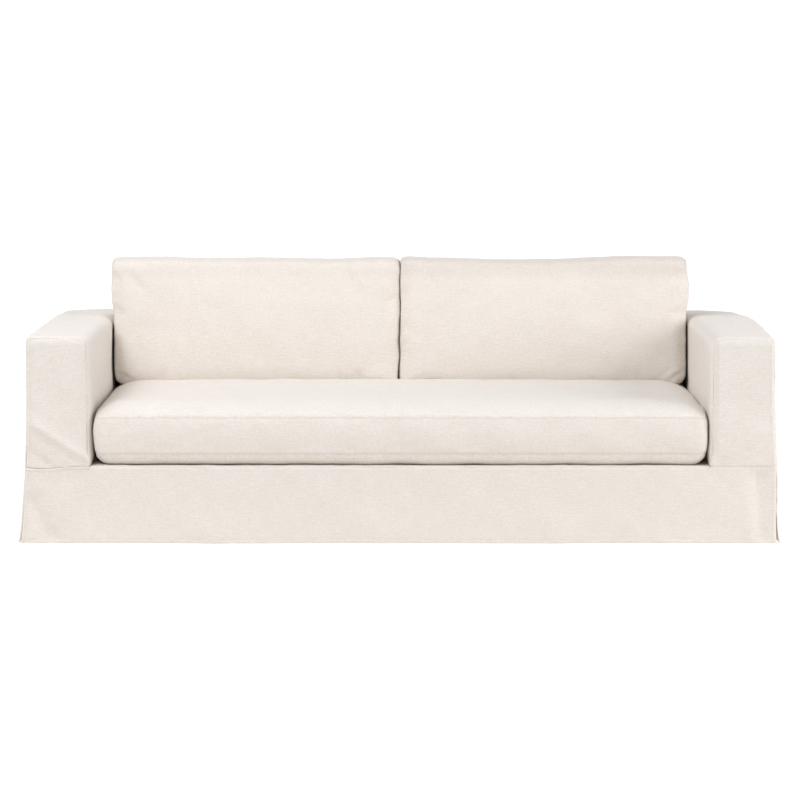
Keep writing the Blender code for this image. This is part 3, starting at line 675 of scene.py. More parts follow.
@dataclass
class Panel:
    """A flat-cut piece of cloth and how it lies over the sofa.

    place turns pattern coordinates into points of the sharp-edged form, and edges gives
    each sewn edge's kind, the distance to it and the place along it, which is shifted so that
    no two edges ripple alike.
    """

    node: str
    place: Callable
    rule: Callable
    lines: tuple
    edges: Callable
    table: tuple = ()
    seed: int = 0
    keep: Callable | None = None  # which faces of the grid are kept, by their middles
    after: Callable | None = None  # a last change to the hung points

    def relief(self, u, v, sizes):
        """How far the cloth stands off the plain form."""
        total = creases(u, v, self.table) + UNEVEN * uneven(u, v, self.seed, *CLOTH_SWELL)
        for number, (kind, distance, along) in enumerate(self.edges(u, v)):
            dip, rise, _ = SEAM_KINDS[kind]
            total -= dip * sizes.seam_dip * bump(distance, SEAM_WIDTH)
            seed = self.seed + NEXT_EDGE_SEED * number + EDGE_SEED
            ripple = uneven(along, along * 0.0, seed, *SEAM_RIPPLE)
            total += PUCKER * ripple * np.exp(-distance / PUCKER_REACH) * ease(distance, *PUCKER_STARTS)
            if rise:
                line = {"topstitched": sizes.stitch_inset, "hem": sizes.hem_depth, "lapped": LAP}[kind]
                below_fold = 1.0 - ease(distance - line, *FOLD_ENDS)
                total += rise * ease(distance, *FOLD_RISES) * below_fold
                total -= STITCH_DIP * bump(distance - line, STITCH_DIP_WIDTH) * (kind != "lapped")
        return total

    def painted_seam_shade(self, flat):
        """How much painted shade each point gets in the seams, from 0 to 1."""
        edges = self.edges(*flat.T)
        return np.max([SEAM_KINDS[kind][2] * bump(far, PAINTED_SHADE_WIDTH) for kind, far, _ in edges], axis=0)

    def on_form(self, flat):
        """Points and normals of the rounded form for pattern coordinates."""
        points = self.place(*flat.T)
        side = np.where(points[:, 0] < 0.0, -1.0, 1.0)
        points[:, 0] *= side
        points, normals = rounded(points, *self.rule(points))
        points[:, 0] *= side
        normals[:, 0] *= side
        return points, normals

    def surface(self, flat, sizes):
        """Where the cloth's outside lies for pattern coordinates."""
        points, normals = self.on_form(flat)
        points = hang(points + normals * self.relief(*flat.T, sizes)[:, None], sizes.cloth)
        return self.after(points) if self.after else points

    def sew(self, sizes, material):
        """Makes the panel's object, with its thickness and its pattern coordinates as a UV map."""
        grid = np.meshgrid(*self.lines, indexing="ij")
        flat = np.stack([axis.ravel() for axis in grid], axis=1)
        faces = quads(*grid[0].shape)
        if self.keep:
            middles = flat[faces].mean(axis=1)
            faces = faces[self.keep(*middles.T)]
        used, faces = np.unique(faces, return_inverse=True)
        flat, faces = flat[used], faces.reshape(-1, 4)
        points = self.surface(flat, sizes)
        if self.inside_out(flat):
            faces = faces[:, ::-1]
        thing = bare_object(f"cloth_{self.node}", points, faces)
        map_pattern(thing, flat[read(thing.data.loops, "vertex_index", kind=np.int32)])
        # Painted shade in the seams, kept with the points for the cloth's material.
        remember(thing, seam=self.painted_seam_shade(flat))
        thickness = thing.modifiers.new("Thickness", "SOLIDIFY")
        thickness.thickness = sizes.cloth
        thickness.offset = -1.0
        settle_modifier(thing, thickness)
        thing.data.shade_smooth()
        thing.data.set_sharp_from_angle(angle=math.radians(SHARP_DEG))
        dress(thing, material, self.node)
        return thing

    def inside_out(self, flat):
        """Whether the grid's own faces point into the sofa, tested on its broadest stretch."""
        corner = flat[len(flat) // 2] + np.array([(0.0, 0.0), (PROBE, 0.0), (0.0, PROBE)])
        points, normals = self.on_form(corner)
        return float(np.cross(points[1] - points[0], points[2] - points[0]) @ normals[0]) < 0.0


def facing(axis, at):
    """Places a pattern on a plane across the axis, v running up or, on a level one, back."""
    return lambda u, v: np.insert(np.stack([u, v], axis=1), axis, at, axis=1)


def front_panel():
    """The full-width panel below the seat."""
    wide, high = OUTER - SEAM, DECK - SEAM
    return Panel(
        "front_panel",
        facing(1, FRONT),
        seat_rule,
        pattern_grid("front_panel", (-wide, wide), (0.0, high), ((-INNER, INNER), ())),
        lambda u, v: [
            ("topstitched", wide - np.abs(u), v),
            ("hem", v, u),
            ("flat", high - v + FAR * (np.abs(u) > INNER), u),
            ("lapped", high - v + FAR * (u > -INNER), u + 0.3),
            ("flat", high - v + FAR * (u < INNER), u + 0.3),
        ],
        FRONT_CREASES,
        SEEDS["front_panel"],
        after=part_front,
    )


def deck_panel():
    """The cloth under the seat cushion."""
    wide, near, far = INNER - SEAM, FRONT + SEAM, BACK_IN - SEAM
    return Panel(
        "deck",
        facing(2, DECK),
        seat_rule,
        pattern_grid("deck", (-wide, wide), (near, far)),
        lambda u, v: [("sewn", v - near, u)],
        seed=SEEDS["deck"],
    )


def arm_front(hand, side):
    """The face of an arm, above the cross seam."""
    near, far = INNER + SEAM, OUTER - SEAM
    low, high = DECK + SEAM, ARM_TOP - SEAM
    u_lines, v_lines = pattern_grid("arm_front", (near, far), (low, high))
    return Panel(
        f"arm_front_{hand}",
        facing(1, FRONT),
        arm_rule,
        (np.sort(side * u_lines), v_lines),
        lambda u, v: [
            ("topstitched", np.abs(u) - near, v),
            ("topstitched", far - np.abs(u), v + 0.5),
            ("tucked" if side < 0 else "flat", v - low, u),
            ("sewn", high - v, u + 0.7),
        ],
        FRONT_CREASES,
        SEEDS["arm_front"] + (side > 0),
    )


def inside_arm(hand, side):
    """One piece, up the inside of the arm and over its top: v runs up and then outwards."""
    near, far, beside = FRONT + SEAM, REAR - SEAM, BACK_IN - SEAM
    low = DECK + SEAM
    rise = ARM_TOP - low
    reach = rise + OUTER - SEAM - INNER

    def place(u, v):
        over = v > rise
        x = np.where(over, INNER + v - rise, INNER)
        return np.stack([side * x, u, np.where(over, ARM_TOP, low + v)], axis=1)

    def edges(u, v):
        on_top = v > rise
        rear = np.where(on_top, far - u, beside - u)
        back = np.where(on_top & (u > beside), v - rise, 1.0)
        return [("sewn", u - near, v), ("sewn", rear, v + 0.3), ("sewn", reach - v, u),
                ("sewn", v, u + 0.2), ("sewn", back, u)]

    return Panel(
        f"inside_arm_{hand}",
        place,
        arm_rule,
        pattern_grid("inside_arm", (near, far), (0.0, reach), ((beside,), (rise,))),
        edges,
        ARM_CREASES[hand],
        SEEDS["inside_arm"] + (side > 0),
        keep=lambda u, v: (v > rise) | (u < beside),
    )


def outside_arm(hand, side):
    """The outside of an arm, from its top to the hem."""
    near, far, high = FRONT + SEAM, REAR - SEAM, ARM_TOP - SEAM
    return Panel(
        f"outside_arm_{hand}",
        facing(0, side * OUTER),
        arm_rule,
        pattern_grid("outside_arm", (near, far), (0.0, high)),
        lambda u, v: [("sewn", u - near, v), ("sewn", far - u, v + 0.4), ("sewn", high - v, u),
                      ("hem", v, u)],
        SIDE_CREASES[hand],
        SEEDS["outside_arm"] + (side > 0),
        after=open_vents,
    )


def inside_back():
    """One piece, up the inside of the back and over its top."""
    wide, low, far = INNER - SEAM, DECK + SEAM, REAR - SEAM
    rise = ARM_TOP - low
    reach = rise + far - BACK_IN

    def place(u, v):
        over = v > rise
        y = np.where(over, BACK_IN + v - rise, BACK_IN)
        return np.stack([u, y, np.where(over, ARM_TOP, low + v)], axis=1)

    return Panel(
        "inside_back",
        place,
        back_rule,
        pattern_grid("inside_back", (-wide, wide), (0.0, reach), ((), (rise,))),
        lambda u, v: [("sewn", wide - np.abs(u), v), ("sewn", reach - v, u), ("sewn", v, u + 0.6)],
        BACK_CREASES,
        SEEDS["inside_back"],
    )


def outside_back():
    """The back, from its top to the hem."""
    wide, high = OUTER - SEAM, ARM_TOP - SEAM
    return Panel(
        "outside_back",
        facing(1, REAR),
        back_rule,
        pattern_grid("outside_back", (-wide, wide), (0.0, high)),
        lambda u, v: [("sewn", wide - np.abs(u), v), ("sewn", high - v, u), ("hem", v, u + 0.9)],
        REAR_CREASES,
        SEEDS["outside_back"],
    )


# ------------------------------------------------------------------ topstitching


def stitch_row(panel, start, stop, sizes):
    """Places and directions of stitches along a straight row in a panel's pattern."""
    start, stop = np.array(start), np.array(stop)
    count = int(np.linalg.norm(stop - start) / sizes.stitch_pitch)
    shares = (np.arange(count) + 0.5)[:, None] / count
    flat = start + (stop - start) * shares
    along = (stop - start) / np.linalg.norm(stop - start) * sizes.stitch_length / 2.0
    across = np.array([-along[1], along[0]])
    middle = panel.surface(flat, sizes)
    forward = panel.surface(flat + along, sizes) - panel.surface(flat - along, sizes)
    sideways = panel.surface(flat + across, sizes) - panel.surface(flat - across, sizes)
    forward /= np.linalg.norm(forward, axis=1, keepdims=True)
    outwards = np.cross(forward, sideways)
    outwards /= np.linalg.norm(outwards, axis=1, keepdims=True)
    return middle, forward, outwards


def thread_unit(sizes):
    """One stitch along X, as points and faces: a short thread with rounded ends."""
    bpy.ops.object.select_all(action="DESELECT")
    bpy.ops.mesh.primitive_uv_sphere_add(segments=6, ring_count=4, radius=1.0, location=ORIGIN)
    thing = bpy.context.active_object
    bpy.ops.object.mode_set(mode="EDIT")
    bpy.ops.mesh.select_all(action="SELECT")
    bpy.ops.mesh.quads_convert_to_tris()
    half_length, radius = sizes.stitch_length / 2.0, sizes.thread / 2.0
    bpy.ops.transform.resize(value=(half_length, radius, radius))
    bpy.ops.object.mode_set(mode="OBJECT")
    points = np.array([vertex.co[:] for vertex in thing.data.vertices])
    faces = np.array([face.vertices[:] for face in thing.data.polygons])
    bpy.data.objects.remove(thing)
    return points, faces


def stitching(name, rows, sizes, material):
    """One object of all the stitches in the rows."""
    unit, unit_faces = thread_unit(sizes)
    found = [stitch_row(panel, start, stop, sizes) for panel, start, stop in rows]
    middle, forward, outwards = (np.concatenate(part) for part in zip(*found))
    sideways = np.cross(outwards, forward)
    points = (
        middle[:, None, :]
        + unit[None, :, 0:1] * forward[:, None, :]
        + unit[None, :, 1:2] * sideways[:, None, :]
        + (unit[None, :, 2:3] + THREAD_STANDS * sizes.thread) * outwards[:, None, :]
    )
    faces = unit_faces[None, :, :] + len(unit) * np.arange(len(middle))[:, None, None]
    thing = bare_object(name, points.reshape(-1, 3), faces.reshape(-1, 3))
    dress(thing, material)


# ------------------------------------------------------------------ cushions


def shoulder(distance, reach, square=2.0):
    """Rounded rise from a cushion's edge: 0 at the edge, 1 from the reach on."""
    share = 1.0 - np.clip(distance / reach, 0.0, 1.0)
    return np.clip(1.0 - share**square, 0.0, 1.0) ** (1.0 / square)


def dome(across, up, half_across, half_up, reach, reach_low, reach_high, square=2.0, square_ends=2.0):
    """How much of its full crown a cushion has at a place, 0 at its seams."""
    sides = shoulder(half_across - np.abs(across), reach, square_ends)
    low, high = shoulder(half_up + up, reach_low, square), shoulder(half_up - up, reach_high, square)
    return sides * low * high


def soften_corners(across, up, half_across, half_up, corner):
    """Rounds the outline of a rectangle's points at its four corners."""
    over_a = np.maximum(np.abs(across) - (half_across - corner), 0.0)
    over_u = np.maximum(np.abs(up) - (half_up - corner), 0.0)
    size = np.hypot(over_a, over_u)
    pull = np.where(size > 0.0, np.maximum(over_a, over_u) / np.maximum(size, 1e-6), 1.0)
    new_a = np.sign(across) * (np.minimum(np.abs(across), half_across - corner) + over_a * pull)
    new_u = np.sign(up) * (np.minimum(np.abs(up), half_up - corner) + over_u * pull)
    return new_a, new_u


def box_skin(xs, ys, zs):
    """Points and quads of a box's skin, cut along lines in all three directions."""
    shape = (len(xs), len(ys), len(zs))
    corners = []
    for axis in range(3):
        first, second = [other for other in range(3) if other != axis]
        i, j = np.meshgrid(np.arange(shape[first] - 1), np.arange(shape[second] - 1), indexing="ij")
        for end in (0, shape[axis] - 1):
            for step_i, step_j in ((0, 0), (1, 0), (1, 1), (0, 1)):
                index = np.zeros((i.size, 3), dtype=int)
                index[:, axis] = end
                index[:, first] = i.ravel() + step_i
                index[:, second] = j.ravel() + step_j
                corners.append(index)
    sides = []
    for number in range(6):
        four = corners[4 * number : 4 * number + 4]
        flat = np.stack([np.ravel_multi_index(index.T, shape) for index in four], axis=1)
        axis, at_high = number // 2, number % 2
        sides.append(flat if (axis == 1) != bool(at_high) else flat[:, ::-1])
    faces = np.concatenate(sides)
    used, faces = np.unique(faces, return_inverse=True)
    i, j, k = np.unravel_index(used, shape)
    return np.stack([xs[i], ys[j], zs[k]], axis=1), faces.reshape(-1, 4)


def cushion_lines(half, step):
    """Even lines across a cushion, with closer ones beside its seams."""
    near = [half - distance for distance in CUSHION_EDGE]
    inner = near[-1]
    rest = np.linspace(-inner, inner, 2 * round(inner / step) + 1)
    return np.array([-half] + [-place for place in near[:-1]] + list(rest) + near[:-1][::-1] + [half])


def band_lines():
    """Levels across a cushion's band, -1 and 1 being its seams."""
    levels = [*BAND_LEVELS, 1.0]
    return np.array([-level for level in levels[::-1]] + [0.0] + levels)


def remember(thing, **values):
    """Keeps numbers with the points, so that a subdivision carries them along."""
    for name, numbers in values.items():
        attribute = thing.data.attributes.new(name, "FLOAT", "POINT")
        attribute.data.foreach_set("value", numbers)


def recall(thing, name):
    """Reads kept numbers back and removes them from the object."""
    attribute = thing.data.attributes[name]
    numbers = read(attribute.data, "value", kind=np.float32).astype(float)
    thing.data.attributes.remove(attribute)
    return numbers


def fill_with_padding(thing, furthest, held, loose):
    """Fills a cushion: its cloth is blown up from inside, each point by at most the furthest.

    held gives, for each point, the share of that motion which a neighbour holds back, and loose
    the share of it which the sewn outline lets through along each axis.
    """
    start = places(thing)
    cloth = thing.modifiers.new("Filling", "CLOTH")
    for name, value in FILLED_CLOTH.items():
        setattr(cloth.settings, name, value)
    cloth.settings.effector_weights.gravity = 0.0
    cloth.collision_settings.use_collision = False
    cloth.point_cache.frame_start = 1
    cloth.point_cache.frame_end = FILL_FRAMES
    scene = bpy.context.scene
    for number in range(1, FILL_FRAMES + 1):
        scene.frame_set(number)
    shown = thing.evaluated_get(bpy.context.evaluated_depsgraph_get())
    moved = places(shown) - start
    thing.modifiers.remove(cloth)
    scene.frame_set(1)
    if not np.isfinite(moved).all():
        raise RuntimeError(f"{thing.name}: the filling did not settle")
    length = np.linalg.norm(moved, axis=1, keepdims=True)
    moved *= furthest * np.tanh(length / furthest) / np.maximum(length, 1e-9)
    filled = start + moved * (1.0 - held)[:, None] * loose
    for axis in np.nonzero(np.array(loose) < 1.0)[0]:
        low, high = start[:, axis].min(), start[:, axis].max()
        now_low, now_high = filled[:, axis].min(), filled[:, axis].max()
        filled[:, axis] = low + (filled[:, axis] - now_low) * (high - low) / (now_high - now_low)
    move_to(thing, filled)


def round_off(thing):
    """Adds one subdivision."""
    finer = thing.modifiers.new("Rounding", "SUBSURF")
    finer.levels = 1
    finer.render_levels = 1
    settle_modifier(thing, finer)


def sewn_detail(across, up, level, half_across, half_up, band, seed, sewn):
    """How far a cushion's cloth stands off its filling, and how much painted shade each point gets in a
    seam.
    """
    deep, shade, gathered = sewn
    to_side, to_end = half_up - np.abs(up), half_across - np.abs(across)
    on_broad = np.abs(level) > ON_SEAM
    distance = np.where(on_broad, np.minimum(to_side, to_end), (1.0 - np.abs(level)) * band / 2.0)
    along = np.where(to_side < to_end, across, up + 3.0) + np.sign(level) * 0.37
    groove = -deep * bump(distance, SEAM_GROOVE_WIDTH)
    ripple = uneven(along, along * 0.0, seed, *CUSHION_RIPPLE)
    pucker = gathered * ripple * np.exp(-distance / CUSHION_PUCKER_REACH)
    pucker = pucker * ease(distance, *PUCKER_STARTS)
    swell = CUSHION_UNEVEN * uneven(across, up + level * 0.1, seed + 5, *CUSHION_SWELL)
    return groove + pucker + swell * ease(distance, *SWELL_STARTS), shade * bump(distance, PAINTED_SHADE_WIDTH)


def pattern_map(thing, across, up, level, half_across, half_up, band):
    """Lays out a cushion's broad sides, ends and long bands as flat pieces of cloth, in metres."""
    four = read(thing.data.loops, "vertex_index", kind=np.int32).reshape(-1, 4)
    depth = level * band / 2.0
    broad = (np.abs(level[four]) > ON_SEAM).all(axis=1)
    end = ~broad & (np.abs(across[four]) > half_across - 1e-5).all(axis=1)
    turned = (level[four].mean(axis=1) < 0.0) * 3.0
    u = np.where(end[:, None], depth[four], across[four]) + turned[:, None]
    v = np.where((broad | end)[:, None], up[four], depth[four]) + 0.7 * turned[:, None]
    map_pattern(thing, np.stack([u, v], axis=-1))


def seat_crown(across, deep):
    """How far the seat cushion's top stands above its upper seam."""
    over_x = np.clip(across, -SEAT_HALF_WIDTH, SEAT_HALF_WIDTH)
    over_y = np.clip(deep, -SEAT_HALF_DEPTH, SEAT_HALF_DEPTH)
    shoulders = SEAT_SHOULDER, SEAT_SHOULDER, SEAT_SHOULDER_REAR
    full = dome(over_x, over_y, SEAT_HALF_WIDTH, SEAT_HALF_DEPTH, *shoulders)
    broad = (1.0 - (over_x / SEAT_HALF_WIDTH) ** 2) * (1.0 - (over_y / SEAT_HALF_DEPTH) ** 2)
    return SEAT_CROWN * full + SEAT_BELLY * broad


def seat_top(x, y):
    """Height of the seat cushion's upper side above the floor, at a place on it."""
    return SEAT_SEAM_HIGH + seat_crown(x - SEAT_SHIFT, y - SEAT_MIDDLE)


def settle_seat(points):
    """Keeps the seat cushion on the deck, between the arms and in front of the back."""
    x, y, z = points.T.copy()
    room = INNER - ARM_GAP
    x = np.clip(x, ARM_PAD_SEAT[0] - room, room - ARM_PAD_SEAT[1])
    y = np.minimum(y, SEAT_REAR_MOST)
    return np.stack([x, y, np.maximum(z, SEAT_BOTTOM)], axis=1)


def seat_cushion(sizes, material):
    """One boxed cushion across the whole seat."""
    xs = cushion_lines(SEAT_HALF_WIDTH, SEAT_STEP)
    skin, faces = box_skin(xs, cushion_lines(SEAT_HALF_DEPTH, SEAT_STEP), band_lines())
    across, deep, level = skin.T
    new_a, new_d = soften_corners(across, deep, SEAT_HALF_WIDTH, SEAT_HALF_DEPTH, SEAT_CORNER)
    by_front = 1.0 - ease(deep, -SEAT_HALF_DEPTH, TAPER_DEPTH - SEAT_HALF_DEPTH)
    new_a = new_a - np.sign(new_a) * SEAT_TAPER * by_front
    bulge = SEAT_BAND_SWELL * np.clip(1.0 - level**2, 0.0, 1.0) - SEAT_DRAWN_IN
    new_a, new_d = new_a * (1.0 + bulge / SEAT_HALF_WIDTH), new_d * (1.0 + bulge / SEAT_HALF_DEPTH)
    height = SEAT_SEAM_LOW + SEAT_BAND * (level + 1.0) / 2.0
    height = height + np.where(level > ON_SEAM, seat_crown(across, deep), 0.0)
    rolls = SEAT_UNDER, SEAT_UNDER_FRONT, SEAT_UNDER
    under = dome(across, deep, SEAT_HALF_WIDTH, SEAT_HALF_DEPTH, *rolls, UNDER_SQUARE)
    height = height - np.where(level < -ON_SEAM, (SEAT_SEAM_LOW - SEAT_BOTTOM) * under, 0.0)
    points = np.stack([new_a + SEAT_SHIFT, new_d + SEAT_MIDDLE, height], axis=1)
    thing = bare_object("cloth_seat_cushion", points, faces)
    remember(thing, across=across, deep=deep, level=level)
    pressed = ease(points[:, 1], PRESSED_FROM, PRESSED_FULL)
    fill_with_padding(thing, sizes.seat_swell, pressed, SEAT_LOOSE)
    move_to(thing, settle_seat(places(thing)))
    round_off(thing)
    across, deep, level = (recall(thing, name) for name in ("across", "deep", "level"))
    shape = (SEAT_HALF_WIDTH, SEAT_HALF_DEPTH, SEAT_BAND)
    detail, seam = sewn_detail(across, deep, level, *shape, SEEDS["seat_cushion"], SEWN["seat"])
    # Painted shade in the seams, kept with the points for the cloth's material.
    remember(thing, seam=seam)
    points, normals = places(thing), read(thing.data.vertices, "normal", 3)
    calm = 1.0 - ease(points[:, 1], PRESSED_FROM, PRESSED_FULL) * (level > ON_SEAM)
    move_to(thing, settle_seat(points + normals * (detail * calm)[:, None]))
    pattern_map(thing, across, deep, level, *shape)
    dress(thing, material, "seat_cushion")


def settle_back(points, side):
    """Keeps a back cushion off the back, the seat cushion, its arm and its neighbour."""
    x, y, z = points.T.copy()
    y = np.minimum(y, BACK_REST)
    z = np.maximum(z, seat_top(x, y) + TOUCH_GAP)
    meeting = MEET_AT + wave(y, MEETING_WAVES) + wave(z, MEETING_RISES)
    from_middle = np.maximum(side * x, SIDE_BY_SIDE + side * meeting)
    below_arm = 1.0 - ease(z, ARM_TOP, OVER_ARM_START)
    widest = INNER - ARM_GAP - ARM_PAD_BACK * below_arm + OVER_ARM_MOST * (1.0 - below_arm)
    return np.stack([side * np.minimum(from_middle, widest), y, z], axis=1)


def back_cushion(hand, side, sizes, material):
    """A back cushion, leaning on the inside back and settled on the seat cushion."""
    xs = cushion_lines(BACK_HALF_WIDTH, BACK_STEP)
    skin, faces = box_skin(xs, band_lines(), cushion_lines(BACK_HALF_UP, BACK_STEP))
    across, level, up = skin.T
    corner = np.where((side * across > 0.0) & (up < 0.0), BACK_CORNER_LOW, BACK_CORNER)
    corner = np.where((side * across < 0.0) & (up > 0.0), BACK_CORNER_INNER, corner)
    new_a, new_u = soften_corners(across, up, BACK_HALF_WIDTH, BACK_HALF_UP, corner)
    bulge = BACK_BAND_SWELL * np.clip(1.0 - level**2, 0.0, 1.0) - BACK_DRAWN
    new_a, new_u = new_a * (1.0 + bulge / BACK_HALF_WIDTH), new_u * (1.0 + bulge / BACK_HALF_UP)
    reach = np.where(side * across > 0.0, BACK_SHOULDER, BACK_SHOULDER_INNER)
    shoulders = reach, BACK_SHOULDER_LOW, BACK_SHOULDER_HIGH
    full = dome(across, up, BACK_HALF_WIDTH, BACK_HALF_UP, *shoulders, BACK_SQUARE, BACK_SQUARE)
    broad = (1.0 - (across / BACK_HALF_WIDTH) ** 2) * (1.0 - (up / BACK_HALF_UP) ** 2)
    swell = np.where(np.abs(level) > ON_SEAM, level * (BACK_CROWN * full + BACK_BELLY * broad), 0.0)
    height = (BACK_HIGH + BACK_LOW) / 2.0 + new_u - BACK_SINKS * (1.0 - ease(new_u, -BACK_HALF_UP, 0.0))
    depth = BACK_SEAM_FRONT + BACK_BAND * (level + 1.0) / 2.0 + swell
    depth = depth + BACK_LEAN * (height - BACK_LOW) - BACK_FOOT
    over_arm = ease(height, OVER_ARM_START, OVER_ARM_FULL)
    outwards = BESIDE_ARM + (BACK_OVER_ARM[hand] - BESIDE_ARM) * over_arm
    outwards = outwards - BACK_DRAWN_IN[hand] * ease(height, DRAWN_IN_START, BACK_HIGH)
    outwards = outwards * ease(side * new_a, OUTER_END, OUTER_FULL)
    inwards = BACK_MEETS * ease(-side * new_a, OUTER_END, OUTER_FULL)
    x = side * (BACK_MIDDLE + outwards - inwards) + new_a
    top_steps = np.linspace(-BACK_HALF_WIDTH, BACK_HALF_WIDTH, len(BACK_TOPS[hand]))
    tops = np.interp(new_a, top_steps, BACK_TOPS[hand])
    height = height + tops * ease(height, TOP_WAVE_START, BACK_HIGH)
    thing = bare_object(f"cloth_back_cushion_{hand}", np.stack([x, depth, height], axis=1), faces)
    remember(thing, across=across, level=level, up=up)
    fill_with_padding(thing, sizes.back_swell, np.zeros(len(across)), BACK_LOOSE)
    move_to(thing, settle_back(places(thing), side))
    round_off(thing)
    across, level, up = (recall(thing, name) for name in ("across", "level", "up"))
    shape = (BACK_HALF_WIDTH, BACK_HALF_UP, BACK_BAND)
    seed = SEEDS["back_cushion"] + (side > 0)
    detail, seam = sewn_detail(across, up, level, *shape, seed, SEWN["back"])
    height = places(thing)[:, 2]
    # Painted shade: the upper front edge is darkened, kept together with the painted seam shade.
    edge = ease(height, TOP_SHADE_FROM, TOP_SHADE_FULL) * (1.0 - ease(level, *TOP_SHADE_LEVELS))
    remember(thing, seam=np.maximum(seam, PAINTED_TOP_SHADE[side > 0] * edge))
    in_front = ease(-level, CREASED_FROM, ON_SEAM)
    detail = detail + in_front * creases(across, up, BACK_FRONT_CREASES[hand])
    normals = read(thing.data.vertices, "normal", 3)
    move_to(thing, settle_back(places(thing) + normals * detail[:, None], side))
    pattern_map(thing, across, up, level, *shape)
    dress(thing, material, f"back_cushion_{hand}")


# ------------------------------------------------------------------ materials


def feed(node, **inputs):
    """Gives a node's inputs their values, or links them to the sockets they come from."""
    for name, value in inputs.items():
        socket = node.inputs[name.replace("_", " ")]
        if isinstance(value, bpy.types.NodeSocket):
            node.id_data.links.new(value, socket)
        else:
            socket.default_value = value
    return node


def scaled_noise(tree, where, scale, size=1.0, detail=2.0):
    """Noise over the pattern, drawn out along the weft or the warp."""
    mapping = feed(tree.nodes.new("ShaderNodeMapping"), Scale=(*scale, 1.0), Vector=where)
    noise = tree.nodes.new("ShaderNodeTexNoise")
    feed(noise, Scale=size, Detail=detail, Roughness=0.55, Vector=mapping.outputs["Vector"])
    return noise.outputs["Fac"]


def weave_bands(tree, where, direction, pitch):
    """Parallel yarns of one direction."""
    bands = tree.nodes.new("ShaderNodeTexWave")
    bands.wave_type = "BANDS"
    bands.bands_direction = direction
    feed(bands, Scale=math.pi / (10.0 * pitch), Distortion=0.6, Vector=where)
    feed(bands, Detail=1.0, Detail_Scale=0.5)
    return bands.outputs["Fac"]


def blend(tree, kind, *values):
    """A math node over values, each of which may be a socket or a number."""
    node = tree.nodes.new("ShaderNodeMath")
    node.operation = kind
    for socket, value in zip(node.inputs, values):
        if isinstance(value, float):
            socket.default_value = value
        else:
            tree.links.new(value, socket)
    return node.outputs["Value"]


def weigh(tree, parts):
    """The sum of several values, each times its share."""
    total = 0.0
    for value, share in parts:
        total = blend(tree, "MULTIPLY_ADD", value, share, total)
    return total


def ramp(tree, value, dark, light, start=0.0, stop=1.0):
    """A colour between two others."""
    made = feed(tree.nodes.new("ShaderNodeValToRGB"), Fac=value)
    for end, place, colour in zip(made.color_ramp.elements, (start, stop), (dark, light)):
        end.position = place
        end.color = (*colour, 1.0)
    return made.outputs["Color"]


def tinted(colour, shares):
    """A colour whose channels are scaled, each to 1 at most."""
    return [min(1.0, channel * share) for channel, share in zip(colour, shares)]


def paint(name):
    """A new material, with its tree and its shader."""
    material = bpy.data.materials.new(name)
    material.use_nodes = True
    return material, material.node_tree, material.node_tree.nodes["Principled BSDF"]


def linen(name, colour, pitch):
    """Matte slubbed linen weave: fine yarns, uneven weft streaks, soft blotches, painted shade in the
    seams.
    """
    material, tree, shader = paint(name)
    where = tree.nodes.new("ShaderNodeUVMap")
    where.uv_map = "pattern"
    uv = where.outputs["UV"]

    slubs = [(scaled_noise(tree, uv, scale), *shares) for scale, *shares in SLUBS]
    blotches = scaled_noise(tree, uv, (1.0, 1.0), BLOTCHES[0], 3.0)
    tones = [(noise, in_tone) for noise, in_tone, _ in slubs]
    tone = weigh(tree, [*tones, (blotches, BLOTCHES[1])])
    cloth = ramp(tree, tone, tinted(colour, DARK_YARN), tinted(colour, LIGHT_YARN), *YARN_TONES)

    # Painted shade: the cloth is darkened where the seam attribute says, in the seams and at the back
    # cushions' upper front edge.
    seam = tree.nodes.new("ShaderNodeAttribute")
    seam.attribute_name = "seam"
    shade = tree.nodes.new("ShaderNodeMix")
    shade.data_type = "RGBA"
    shade.blend_type = "MULTIPLY"
    feed(shade, Factor=seam.outputs["Fac"], A=cloth, B=(*PAINTED_SEAM_SHADE, 1.0))

    weft, warp = weave_bands(tree, uv, "Y", pitch), weave_bands(tree, uv, "X", pitch * WARP_PITCH)
    yarns = blend(tree, "MAXIMUM", weft, warp)
    heights = [(noise, in_relief) for noise, _, in_relief in slubs]
    height = weigh(tree, [(yarns, YARN_RELIEF), *heights])
    relief = feed(tree.nodes.new("ShaderNodeBump"), Strength=0.7, Distance=0.0010, Height=height)
    feed(shader, Base_Color=shade.outputs["Result"], Normal=relief.outputs["Normal"])
    long_slubs = slubs[1][0]
    feed(shader, Roughness=blend(tree, "MULTIPLY_ADD", long_slubs, 0.10, 0.82), Specular_IOR_Level=0.2)
    feed(shader, Sheen_Weight=0.12, Sheen_Roughness=0.55)
    return material


def thread(name, colour):
    """Twisted sewing thread, slightly glossier than the cloth."""
    material, tree, shader = paint(name)
    spot = tree.nodes.new("ShaderNodeTexCoord").outputs["Object"]
    twist = scaled_noise(tree, spot, (900.0, 900.0), 1.0, 1.0)
    feed(shader, Base_Color=ramp(tree, twist, [channel * 0.86 for channel in colour], colour))
    feed(shader, Roughness=0.62, Sheen_Weight=0.1)
    return material


def kept_linen(scene, part):
    """The linen of a part's colour, made on its first use."""
    name, colour = f"{part}_linen", getattr(scene.slipcover_colours, part)
    return bpy.data.materials.get(name) or linen(name, colour, scene.slipcover_sizes.weave)


# ------------------------------------------------------------------ what a user may change


def length(name, description, default):
    return FloatProperty(name=name, description=description, default=default, unit="LENGTH")


def colour(name, description, default):
    return FloatVectorProperty(name=name, description=description, default=default, subtype="COLOR")


